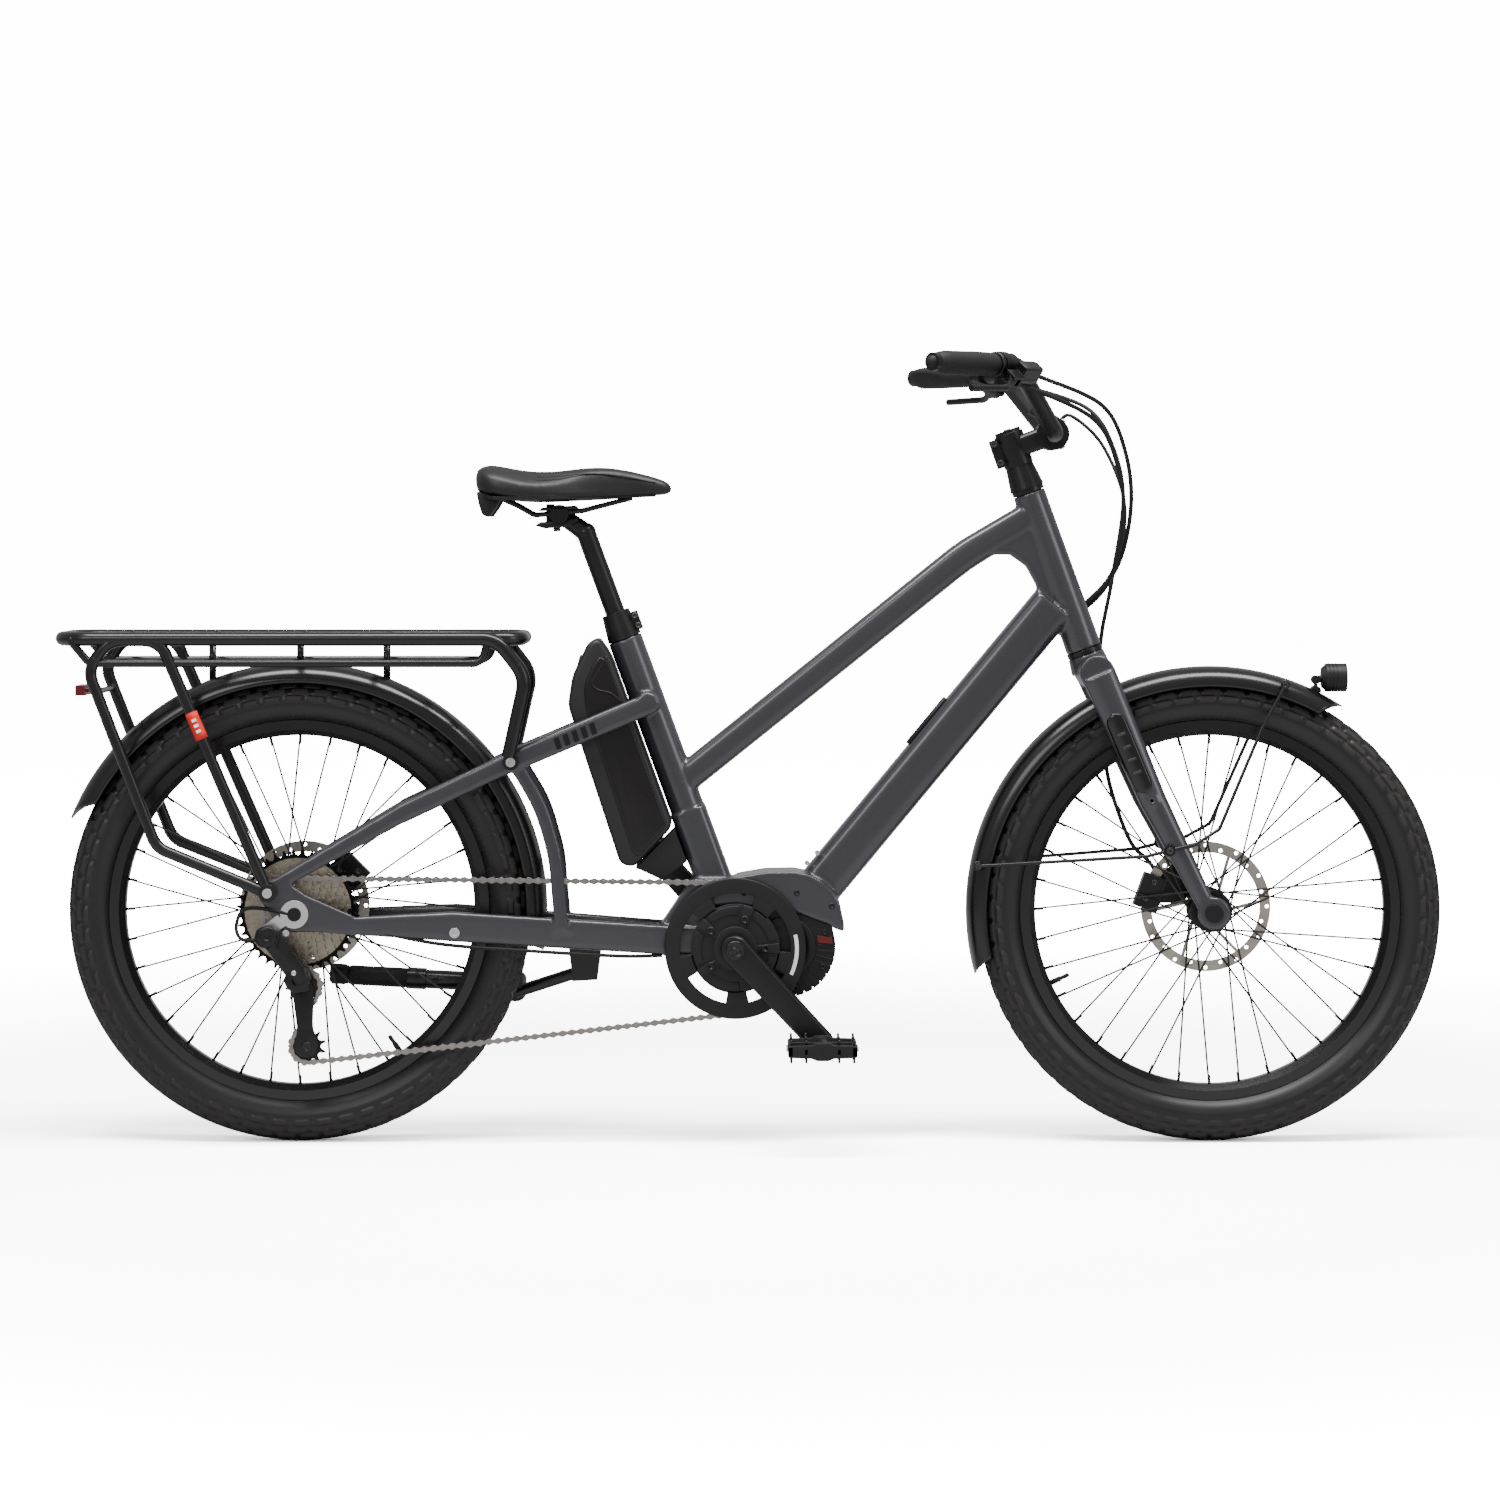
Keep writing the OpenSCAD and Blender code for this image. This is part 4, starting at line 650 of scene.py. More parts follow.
def rounded(outline, r, steps=4):
    """The outline with its corners cut to small arcs."""
    n, out = len(outline), []
    for i in range(n):
        a, b, c = (np.array(outline[(i + k) % n], float) for k in (-1, 0, 1))
        d = min(r, 0.45 * np.linalg.norm(b - a), 0.45 * np.linalg.norm(c - b))
        p, q = b + unit(a - b) * d, b + unit(c - b) * d
        for t in np.linspace(0, 1, steps + 1):
            out.append(tuple((1 - t) ** 2 * p + 2 * t * (1 - t) * b + t * t * q))
    return out


def plate_stack(shape, outline, levels):
    """Rings of the outline at (y, inset): a soft-edged slab."""
    rows = [[(x, y, z) for x, z in inset(outline, d)] for y, d in levels]
    shape.grid(rows, caps=True)


case = Shape()
core = rounded(inset(BODY, 0.4), 10, 5)
plate_stack(case, core, [(-41.8, 7), (-41.2, 3.5), (-38.5, 1.0), (-34, 0), (34, 0), (38.5, 1.0),
                         (41.2, 3.5), (41.8, 7)])
shell = case.make("battery_case", STRIP, "battery")
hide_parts("battery")
panel = Shape()
SIDE = [(-206, 668), (-216, 655), (-227, 628), (-226, 600), (-162, 402), (-153, 392), (-114, 436),
        (-194, 660)]
for s in (-1, 1):
    lines = [(s * 41.2, 0), (s * 42.4, 0.3), (s * 43.0, 1.6), (s * 43.2, 4)]
    plate_stack(panel, rounded(SIDE, 9, 5), lines)
panel.make("battery_panels", CASE, "battery")
cap_line = Shape()
for s in (-1, 1):
    cap_line.tube(curve_points([(-196, s * 43.1, 668), (-206, s * 43.3, 650), (-216, s * 43.4, 632),
                                (-208, s * 43.4, 622), (-190, s * 43.4, 617), (-174, s * 43.3, 604)], 8),
                  0.9, 8)
cap_line.make("battery_cap_lines", STRIP, "battery")
key = Shape()
key.turned((-198, 43, 643), (0, 1, 0), [(7, -1), (7, 1), (5.5, 1.6), (5.2, 0.6), (0.01, 0.6)], 28)
key.turned((-236, 0, 655), (-0.97, 0, 0.25), [(14, -6), (14, 1.0), (11, 1.6)], 28)
key.make("battery_lock", ANOD, "battery")

# ---- Motor, guard and cranks ----
def on_circle(c, r, deg, y):
    return np.array([c[0] + r * math.cos(math.radians(deg)), y, c[2] + r * math.sin(math.radians(deg))])


ribs = Shape()
MOTOR_AT = np.array([48.0, 0, 270])
for s in (-1, 1):
    face = s * 42
    for deg in range(-96, 14, 9):
        a, b = on_circle(MOTOR_AT, 44, deg, face - s * 1), on_circle(MOTOR_AT, 67, deg, face - s * 1)
        side = np.array([-math.sin(math.radians(deg)), 0, math.cos(math.radians(deg))]) * 1.1
        ribs.add([a - side, a + side, b + side, b - side, a - side + [0, s * 2.6, 0],
                  a + side + [0, s * 2.6, 0],
                  b + side + [0, s * 1.6, 0], b - side + [0, s * 1.6, 0]],
                 [(0, 1, 2, 3), (4, 5, 6, 7), (0, 1, 5, 4), (1, 2, 6, 5), (2, 3, 7, 6), (3, 0, 4, 7)])
ribs.make("motor_ribs", MOTOR, "frame", smooth=False)
cover = Shape()
cover.turned(MOTOR_AT + [0, -41.5, 0], (0, -1, 0), [(42, 0), (42, 1.6), (39, 2.4), (30, 2.6), (29, 1.6),
                                                    (12, 1.5)], 64)
cover.turned(MOTOR_AT + [0, 47.5, 0], (0, 1, 0), [(42, 0), (42, 1.0), (38, 1.8), (26, 1.9)], 64)
for i in range(5):
    q = on_circle(MOTOR_AT, 58, 20 - i * 48, -42)
    bolt(cover, q, (0, -1, 0), 4, 1.5)
cover.make("motor_covers", MOTOR, "frame")
screws = Shape()
for x, z in ((64, 344), (112, 326), (-8, 344)):
    for s in (-1, 1):
        bolt(screws, (x, s * 44.3, z), (0, s, 0), 4.2, 0.9)
screws.make("motor_screws", ANOD, "frame")
mark = Shape()
for y in (-42.3, 42.3):
    s = math.copysign(1, y)
    mark.prism([(92, 286), (93, 276), (113, 274), (112, 283)], y - 0.6 * s + s * 1.2, y + s * 1.4)
mark.make("motor_red_mark", DARK_RED, "frame", smooth=False)

guard = Shape()


def ring_sector(shape, c, r0, r1, a0, a1, y0, y1, steps):
    """A flat sector of a ring between two angles, with thickness."""
    v, f = [], []
    for i in range(steps + 1):
        a = a0 + (a1 - a0) * i / steps
        for r in (r0, r1):
            for y in (y0, y1):
                v.append(on_circle(c, r, a, y))
    for i in range(steps):
        b, n = 4 * i, 4 * (i + 1)
        f += [(b, b + 1, n + 1, n), (b + 2, b + 3, n + 3, n + 2), (b, b + 2, n + 2, n),
              (b + 1, b + 3, n + 3, n + 1)]
    if abs(a1 - a0) < 359.9:
        e = 4 * steps
        f += [(0, 1, 3, 2), (e, e + 1, e + 3, e + 2)]
    shape.add(v, f)


guard.turned(BB, (0, 1, 0), [(96.4, -53.4), (96.4, -54.8), (95.2, -56.0), (80, -56.4), (75.5, -55.6),
                             (75.5, -53.4)],
             144, closed=True)
for k in range(5):
    ring_sector(guard, BB, 58, 77, k * 72 + 20 + 24, k * 72 + 20 + 48, -53.4, -55.6, 8)
    ring_sector(guard, BB, 14, 60, k * 72 - 7, k * 72 + 7, -55.0, -58.4, 6)
    ring_sector(guard, BB, 46, 58, k * 72 + 12, k * 72 + 60, -55.0, -56.9, 10)
ring_sector(guard, BB, 13.2, 61, 0, 360, -50.0, -55.6, 72)
ring_sector(guard, BB, 13.2, 30, 0, 360, -55.0, -59.6, 48)
guard_obj = guard.make("guard_ring", PLASTIC, "crank")
soften(guard_obj, 0.5, 2)
spider = Shape()
for k in range(5):
    a = k * 72
    spider.turned(on_circle(BB, 41, a, -58.2), (0, -1, 0),
                  [(6, 0), (6, 1.4), (4.6, 2.0), (3, 2.0), (2.8, 0.8), (0.01, 0.8)], 24)
ring_sector(spider, BB, 13.3, 47.5, 0, 360, -46.2, -48.0, 72)
spider.make("spider_bolts", ANOD, "crank")
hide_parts("chain_guard")
arc = Shape()
ring_sector(arc, BB, 81.5, 86.5, -25, 13, -56.25, -56.7, 24)
arc.make("guard_white_arc", WHITE, "crank", smooth=False)


def crank(sign, name, node):
    d = CRANK_WAY * (1 if sign < 0 else -1)
    up = np.array([-d[2], 0, d[0]])
    shape = Shape()
    y_in, y_out = sign * 68.0, sign * 83.0
    stations = [(-20, 3), (-17, 11.5), (-12, 16), (-6, 19), (0, 20), (14, 19.6), (40, 18.8), (100, 18),
                (150, 17.5), (172, 17.5), (180, 15.6), (186, 10.8), (189, 3)]
    rows = []
    for t, w in stations:
        ring = []
        c = BB + d * t
        for k, (u, h) in enumerate([(-1, 0.22), (-0.86, 0.0), (0.86, 0.0), (1, 0.22), (1, 0.74),
                                    (0.78, 1.0), (-0.78, 1.0), (-1, 0.74)]):
            y = y_in + (y_out - y_in) * (0.02 + 0.96 * h)
            ring.append(c + up * w * u + [0, y, 0])
        rows.append(ring)
    shape.grid(rows, caps=True)
    tip = BB + d * 172
    shape.turned(tip + [0, sign * 82, 0], (0, sign, 0), [(9, 0), (9, 5), (7, 6), (7, 95), (5.5, 97)], 24)
    obj = shape.make(name, ANOD, "crank")
    soften(obj, 1.2, 3, 30)
    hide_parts(node)
    cap = Shape()
    cap.turned(BB + [0, sign * 82.8, 0], (0, sign, 0), [(13, 0), (13, 1.3), (11.8, 2.1), (8.2, 2.1),
            (7.4, 0.8), (4.2, 0.8), (3.8, 1.9), (0.01, 1.9)], 36)
    cap.turned(tip + [0, sign * 67.6, 0], (0, -sign, 0),
               [(7, -0.6), (7, 1.2), (5.5, 1.8), (3.4, 1.8), (3.2, 0.4), (0.01, 0.4)], 24)
    cap.make(name + "_cap", BLACK, "crank")


crank(-1, "crank_arm_right", "crank_right")
crank(1, "crank_arm_left", "crank_left")


# ---- Pedals ----
def pedal(sign, name, node, body):
    c = BB + CRANK_WAY * 172 * (1 if sign < 0 else -1)
    y0, y1 = sign * 91.5, sign * 182.5
    cage, pins = Shape(), Shape()
    outline = rounded([(-46.5, -8), (-46.5, 8), (-14, 9), (-9, 12.2), (9, 12.2), (14, 9), (46.5, 8),
                       (46.5, -8),
                       (14, -9), (9, -12.2), (-9, -12.2), (-14, -9)], 3, 2)
    for a, b in ((y0, y0 + sign * 8), (y1 - sign * 8, y1)):
        cage.prism([(c[0] + x, c[2] + z) for x, z in outline], min(a, b), max(a, b))
    for x in (-43, 43):
        bar = [(c[0] + x + u, c[2] + w) for u, w in [(-3.4, -6.5), (3.4, -6.5), (3.4, 6.5), (-3.4, 6.5)]]
        cage.prism(bar, min(y0, y1), max(y0, y1))
    for x in (-22, 22):
        bar = [(c[0] + x + u, c[2] + w) for u, w in [(-2.6, -4), (2.6, -4), (2.6, 4), (-2.6, 4)]]
        cage.prism(bar, min(y0, y1), max(y0, y1))
    for z in (-6.5, 6.5):
        mid = (y0 + y1) / 2
        bar = [(c[0] - 46 + u * 92, c[2] + z + w) for u, w in [(0, -1.6), (1, -1.6), (1, 1.6), (0, 1.6)]]
        cage.prism(bar, mid - 3, mid + 3)
    cage.turned((c[0], y0 - sign * 0.5, c[2]), (0, sign, 0),
                [(12, 0), (12.4, 2), (9.6, 12), (9.6, 76), (12.4, 88), (11, 91)], 32)
    obj = cage.make(name, PLASTIC, body)
    soften(obj, 0.7, 2)
    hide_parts(node)
    for x in (-42, -22, 22, 42):
        for y in (y0 + sign * 5, (y0 + y1) / 2, y1 - sign * 5):
            for s in (-1, 1):
                reach = 6.5 if abs(x) > 30 else 8
                pins.tube([(c[0] + x, y, c[2] + s * reach), (c[0] + x, y, c[2] + s * 15.4)], 1.7, 8)
    for x in (-46, 46):
        for y in (y0 + sign * 22, (y0 + y1) / 2, y1 - sign * 22):
            pins.tube([(c[0] + x * 0.95, y, c[2]), (c[0] + x * 1.06, y, c[2])], 1.3, 8)
    pins.make(name + "_pins", ANOD, body)


pedal(-1, "pedal_cage_right", "pedal_right", "pedal_right")
pedal(1, "pedal_cage_left", "pedal_left", "pedal_left")


# ---- Chain: the same closed loop as in the CAD, split so that it follows the derailleur cage ----
def pitch_r(n):
    return PITCH / 2 / math.sin(math.pi / n)


WRAPS = [(np.array([REAR[0], REAR[2]]), COG_TEETH, 1), (np.array([BB[0], BB[2]]), RING_TEETH, 1),
         (LOWER, PULLEY_TEETH, 1), (UPPER, PULLEY_TEETH, -1)]


def chain_path():
    heads = []
    for i in range(4):
        a, b = WRAPS[i], WRAPS[(i + 1) % 4]
        d = b[0] - a[0]
        off = a[2] * pitch_r(a[1]) - b[2] * pitch_r(b[1])
        heads.append(math.atan2(d[1], d[0]) - math.asin(off / np.linalg.norm(d)))

    def touch(i, a):
        return WRAPS[i][0] + WRAPS[i][2] * pitch_r(WRAPS[i][1]) * np.array([-math.sin(a), math.cos(a)])

    runs = [np.linalg.norm(touch((i + 1) % 4, heads[i]) - touch(i, heads[i])) / PITCH for i in range(4)]
    turns = [((WRAPS[i][2] * (heads[i - 1] - heads[i])) % (2 * math.pi)) * WRAPS[i][1] / (2 * math.pi)
             for i in range(4)]
    total = 2 * round((sum(runs) + sum(turns)) / 2)
    stretch = (total - sum(turns)) / sum(runs)
    starts = [0.0]
    for i in range(3):
        starts.append(starts[-1] + runs[i] * stretch + turns[i + 1])
    out = []
    for k in range(total):
        i = max(j for j in range(4) if starts[j] <= k)
        s, run = k - starts[i], runs[i] * stretch
        a, b = touch(i, heads[i]), touch((i + 1) % 4, heads[i])
        if s < run:
            out.append((a + (b - a) * s / run, i, False))
        else:
            w = WRAPS[(i + 1) % 4]
            out.append((touch((i + 1) % 4, heads[i] - w[2] * (s - run) * 2 * math.pi / w[1]), (i + 1) % 4,
                        True))
    return out


def link_shape(shape, a, b, inner):
    d = b - a
    length = np.linalg.norm(d)
    u = d / length
    w = np.array([-u[1], u[0]])
    outline = []
    for t in np.linspace(90, 270, 7):
        outline.append((4.4 * math.cos(math.radians(t)), 4.4 * math.sin(math.radians(t))))
    outline.append((length / 2, -2.1))
    for t in np.linspace(-90, 90, 7):
        outline.append((length + 4.4 * math.cos(math.radians(t)), 4.4 * math.sin(math.radians(t))))
    outline.append((length / 2, 2.1))
    pts = [a + u * x + w * z for x, z in outline]
    y0, y1 = (1.15, 1.95) if inner else (2.05, 2.85)
    for s in (-1, 1):
        lo, hi = sorted((CHAIN_Y + s * y0, CHAIN_Y + s * y1))
        shape.prism([tuple(q) for q in pts], lo, hi)
    for q in (a, b):
        if inner:
            shape.turned((q[0], CHAIN_Y, q[1]), (0, 1, 0), [(3.85, -1.15), (3.85, 1.15)], 12)
        else:
            shape.turned((q[0], CHAIN_Y, q[1]), (0, 1, 0), [(1.7, -3.0), (1.7, 3.0)], 10)


path = chain_path()
parts = {"top": Shape(), "low": Shape(), "back": Shape(), "rise": Shape()}
rise_ends = []
for k, (a, i, on_wheel) in enumerate(path):
    b = path[(k + 1) % len(path)][0]
    if i == 1 and not on_wheel:
        part = "low"
    elif i == 3 and not on_wheel:
        part = "rise"
        rise_ends += [a, b]
    elif i == 2 or i == 3:
        part = "back"
    else:
        part = "top"
    link_shape(parts[part], a, b, k % 2 == 0)
top = parts["top"].make("chain_top", CHAIN, "frame", smooth=False)
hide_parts("chain")
parts["back"].make("chain_back", CHAIN, "derailleur_cage", smooth=False)
low = parts["low"].make("chain_low", CHAIN, None, smooth=False)
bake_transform(low)


rise = parts["rise"].make("chain_rise", CHAIN, None, smooth=False)
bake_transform(rise)


# ---- Derailleur: outer cage plate, links, pivot caps and a cable stop ----
plate = Shape()
d = unit(np.array([LOWER[0] - UPPER[0], 0, LOWER[1] - UPPER[1]]))
side = np.array([-d[2], 0, d[0]])
U3, L3 = np.array([UPPER[0], 0, UPPER[1]]), np.array([LOWER[0], 0, LOWER[1]])
outline = [U3 + side * 10 - d * 12, U3 + side * 14 + d * 6, L3 + side * 10 - d * 26,
           L3 + side * 17 - d * 4, L3 + side * 10 + d * 14,
           L3 - side * 9 + d * 14, L3 - side * 19 + d * 2, L3 - side * 11 - d * 22,
           U3 - side * 15 + d * 12, U3 - side * 14 - d * 8]
face = rounded([(q[0], q[2]) for q in outline], 7, 3)
plate.prism(face, -59.4, -57.4)
obj = plate.make("cage_outer_plate", ANOD, "derailleur_cage")
soften(obj, 0.6, 2)
caps = Shape()
for at in (U3, L3):
    caps.turned(at + [0, -59.3, 0], (0, -1, 0), [(7.5, 0), (7.5, 1.2), (6, 2.2), (3, 2.2), (2.6, 0.8),
                                                 (0.01, 0.8)], 28)
caps.make("cage_screws", BLACK, "derailleur_cage")
knuckle = Shape()
knuckle.turned((-615, -85.8, 229), (0, -1, 0), [(17, 0), (17, 3), (13, 6), (6, 6.6), (5, 5), (0.01, 5)], 36)
knuckle.turned((-654, -103.8, 290), (0, -1, 0), [(14, 0), (13.6, 2.4), (11, 3.6), (5, 3.6), (4.4, 2),
                                                 (0.01, 2)], 36)
link = rounded([(-664, 283), (-650, 277), (-612, 222), (-601, 232), (-604, 246), (-640, 300),
                (-656, 300)], 5, 3)
knuckle.prism(link, -92, -99)
knuckle.prism(rounded([(-668, 300), (-650, 306), (-636, 292), (-642, 276), (-662, 274), (-672, 284)], 5,
                      3), -86, -104)
obj = knuckle.make("derailleur_links", ANOD, "frame")
soften(obj, 1.0, 2)
screws = Shape()
for x, z in ((-646, 286), (-618, 240), (-660, 292)):
    bolt(screws, (x, -99 if x != -660 else -104, z), (0, -1, 0), 3.4, 1.5)
screws.make("derailleur_screws", BRIGHT, "frame")
housing = Shape()
housing.tube(curve_points([(-668, -96, 284), (-690, -94, 286), (-697, -88, 304), (-684, -84, 326),
                           (-640, -83.5, 322),
                           (-590, -78, 306), (-520, -76, 296), (-420, -66, 276), (-300, -58, 266),
                           (-180, -46, 258),
                           (-120, -40, 258)], 12), 2.6, 12)
housing.make("derailleur_cable", RUBBER, "frame")
# small bolts on each brake caliper
brakes = Shape()
for at in ((548, 55.2, 330), (560, 55.2, 352)):
    bolt(brakes, at, (0, 1, 0), 4.2, 2)
    bolt(brakes, (at[0], 30.8, at[2]), (0, -1, 0), 4.2, 2)
brakes.make("front_caliper_bolts", SMALL, "steering")
brakes = Shape()
for at in ((-570, 46.8, 366), (-544, 46.8, 366)):
    bolt(brakes, at, (0, -1, 0), 4.2, 2)
brakes.make("rear_caliper_bolts", SMALL, "frame")

# ---- Cockpit ----
GRIP_WAY = unit(BAR_TIP - BAR_BEND)
GRIP_LEN = float(np.linalg.norm(BAR_TIP - BAR_BEND))
LEVER_WAY = unit(np.cross(GRIP_WAY, [0, 0, 1])) * math.cos(math.radians(40)) - np.array([0, 0,
        math.sin(math.radians(40))])


def cockpit(s, p):
    """A point given along the grip, towards the lever and across both, on the left (s = 1) or right side."""
    m = np.array([1, s, 1])
    g, e = GRIP_WAY * m, LEVER_WAY * m
    return BAR_BEND * m + g * p[0] + e * p[1] + np.cross(g, e) * p[2]


for s, side in ((-1, "right"), (1, "left")):
    g = GRIP_WAY * [1, s, 1]
    back = -unit(np.cross(g, [0, 0, 1])) * s
    flat = back * 0.94 + np.array([0, 0, 0.34])
    flat = unit(flat - g * (flat @ g))
    other = np.cross(g, flat)
    rows = []
    for t in np.linspace(0, 1, 26):
        x = 50 + (GRIP_LEN + 5 - 50) * t
        wing = 7 * math.sin(math.pi * min(1.0, max(0.0, (t - 0.35) / 0.65)))
        r = 15.4 + 0.9 * math.sin(math.pi * t) - (2.2 if t < 0.03 else 0)
        shut = 1 if t < 0.80 else 1 - 0.62 * ((t - 0.80) / 0.20) ** 1.5
        ring = []
        for a in np.linspace(0, 2 * math.pi, 28, endpoint=False):
            ca, sa = math.cos(a), math.sin(a)
            reach = r * shut + (wing * max(0, ca) ** 1.6)
            tall = r * shut * (1 - 0.3 * wing / 7 * max(0, ca))
            ring.append(cockpit(s, (x, 0, 0)) + flat * reach * ca + other * tall * sa)
        rows.append(ring)
    grip = Shape()
    grip.grid(rows, caps=True)
    obj = grip.make(f"grip_{side}", GRIP, "steering")
    if s == -1:
        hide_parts("grips")
    ring = Shape()
    ring.turned(cockpit(s, (44.5, 0, 0)), g, [(12.1, 0), (16.6, 0), (17, 1), (17, 5.2), (16.4, 6),
                                              (12.1, 6)], 40, closed=True)
    ring.make(f"grip_ring_{side}", ANOD, "steering")
    extra = Shape()
    bolt(extra, cockpit(s, (36, -17.5, 0)), -LEVER_WAY * [1, s, 1], 3.2, 2.2)
    cross = np.cross(g, LEVER_WAY * [1, s, 1]) * (-1 if s > 0 else 1)
    for x in (0, 24):
        bolt(extra, cockpit(s, (x, 21 + 5, 0)) + cross * 19, cross, 2.2, 1.0)
    extra.make(f"master_bolts_{side}", BRIGHT, "steering")
    lid = Shape()
    c0 = cockpit(s, (12, 26, 0)) + cross * 19
    ex, ey = g, LEVER_WAY * [1, s, 1]
    rows = [[c0 + ex * (19 - d) * math.copysign(min(1, abs(1.25 * math.cos(t))), math.cos(t))
             + ey * (9.5 - d) * math.copysign(min(1, abs(1.25 * math.sin(t))), math.sin(t)) + cross * h
             for t in np.linspace(0, 2 * math.pi, 32, endpoint=False)] for h,
            d in ((-1, 0), (1.2, 0), (2.0, 1.2))]
    lid.grid(rows, caps=True)
    lid.make(f"reservoir_lid_{side}", PLASTIC, "steering")

screen = Shape()
q = BAR_AT + [0, 41.9, 0]
u = np.array([math.cos(math.radians(25)), 0, -math.sin(math.radians(25))])
w = np.array([math.sin(math.radians(25)), 0, math.cos(math.radians(25))])
base = q + [-10, 0, 20] + w * 12.1
rows = [[base + u * (19 - d) * cx + np.array([0, (12.5 - d) * cy, 0]) + w * h
         for cx, cy in [(-1, -0.9), (-0.9, -1), (0.9, -1), (1, -0.9), (1, 0.9), (0.9, 1), (-0.9, 1),
                        (-1, 0.9)]]
        for h, d in ((-0.3, 0), (0.8, 0), (1.2, 1.0))]
screen.grid(rows, caps=True)
screen.make("display_glass", BADGE, "steering")

# Hoses and cables as smooth curves; those into the frame bend across the steering
hose = Shape()
hose.tube(curve_points([cockpit(1, (-11, 25, 0)), cockpit(1, (-34, 28, 0)), (474, 110, 1010),
                        (508, 90, 955), (521, 80, 880),
                        (505, 78, 770), (490, 77, 690), (486, 75, 610), (492, 70, 545), (500, 67, 490),
                        (516, 63, 438),
                        (532, 57, 402), (552, 51.5, 382), (563, 50, 367)], 12), 3.0, 12)
hose.make("front_brake_hose", RUBBER, "steering")
LINES = [
    [cockpit(-1, (-11, 25, 0)), cockpit(-1, (-34, 28, 0)), (478, -100, 1008), (512, -62, 945),
     (523, -18, 870), (508, 24, 790), (466, 38, 738), (428, 34, 714)],
    [cockpit(-1, (5, 12, -23)), cockpit(-1, (-26, 18, -23)), (466, -98, 990), (502, -58, 925),
     (513, -14, 850), (497, 28, 770), (458, 42, 726), (422, 36, 704)],
    [q + [10, 2, 16], (446, 42, 998), (490, 36, 955), (518, 20, 872), (503, 34, 785), (462, 46, 736),
     (424, 40, 709)],
]
for i, line in enumerate(LINES):
    cable = Shape()
    cable.tube(curve_points(line, 12), 3.1 if i < 2 else 2.6, 12)
    obj = cable.make(f"cable_{i + 1}", RUBBER, None)
    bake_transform(obj)
    if i == 0:
        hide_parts("control_cables")
port = Shape()
port.turned((424, 30, 708), (-0.35, 1, -0.2), [(9, -6), (9, 1.5), (7, 3)], 28)
port.make("cable_port", PLASTIC, "frame")

# ---- Front light, fork badges and small hardware ----
light = Shape()
for x in (797, 802, 807):
    light.turned((x, 0, 637), (1, 0, 0), [(19.2, -0.9), (20.1, -0.4), (20.1, 0.4), (19.2, 0.9)], 48,
                 closed=True)
light.turned((820, 0, 637), (1, 0, 0), [(17.3, -1.5), (19.4, -1.5), (19.8, 0), (19.0, 1.2), (17.3, 0.2)],
             48, closed=True)
light.make("headlight_fins", ANOD, "headlight")
glass = Shape()
glass.turned((819, 0, 637), (1, 0, 0), [(17.3, -0.2), (16.5, 0.5), (12, 1.0), (5, 1.3), (0.01, 1.35)], 48)
glass.make("headlight_glass", LENS, "headlight")

badge, mark = Shape(), Shape()
for s in (-1, 1):
    # a lozenge with round ends that follows the blade's outer face
    a, b = np.array([494.0, 590.0]), np.array([539.0, 482.0])
    u = unit(b - a)
    w = np.array([-u[1], u[0]])
    long = float(np.linalg.norm(b - a))
    n = 22
    rows = []
    for i in range(n + 1):
        t = long * i / n
        r = 13.5
        reach = r if r < t < long - r else math.sqrt(max(0.2, r * r - (r - min(t, long - t)) ** 2))
        row = []
        for v in np.linspace(-1, 1, 9):
            x, z = a + u * t + w * v * reach
            # the blade is an oval 12 mm deep; its half width falls from 24 to 18.5 mm
            half = 24 - 5.5 * np.clip((642 - z) / 176, 0, 1)
            centre = 476 + (552 - 476) * np.clip((642 - z) / 176, 0, 1)
            off = (x - centre) * 0.92 / half
            y = 57 + 12 * math.sqrt(max(0.05, 1 - off * off)) + 0.55
            row.append((x, s * y, z))
        rows.append(row)
    badge.grid(rows, close_v=False)
    for k in range(4):
        t = long * (0.26 + 0.16 * k)
        x, z = a + u * t
        half = 24 - 5.5 * np.clip((642 - z) / 176, 0, 1)
        y = 57 + 12 + 0.75
        cells = [np.array([x, z]) + w * v * 6 + u * h * 2.2 for v, h in ((-1, -1), (1, -1), (1, 1), (-1, 1))]
        mark.add([(c[0], s * (y - 0.05), c[1]) for c in cells], [(0, 1, 2, 3)])
obj = badge.make("fork_badges", BADGE, "steering")
modify(obj, "SOLIDIFY", thickness=0.5 * MM, offset=0)
settle(obj)
obj.data.shade_smooth()
obj = mark.make("fork_badge_bars", PAINT, "steering", smooth=False)
modify(obj, "SOLIDIFY", thickness=0.6 * MM, offset=0)
settle(obj)

bars = Shape()
for s in (-1, 1):
    for k in range(5):
        t = k * 13.0
        x, z = -262 + t * 0.925, 549.5 + t * 0.381
        u, w = np.array([0.925, 0.381]), np.array([-0.3, 0.954])
        v = [np.array([x, z]) + u * p + w * h for p, h in ((-3.6, -8), (3.6, -8), (3.6, 8), (-3.6, 8))]
        y = 61.9 + (56 - 53) * (-(x + 136) / 190.0) - 1.25
        bars.add([(c[0], s * y, c[1]) for c in v] + [(c[0], s * (y + 0.5), c[1]) for c in v],
                 [(0, 1, 2, 3), (4, 5, 6, 7), (0, 1, 5, 4), (1, 2, 6, 5), (2, 3, 7, 6), (3, 0, 4, 7)])
bars.make("stay_bars", BADGE, "frame", smooth=False)

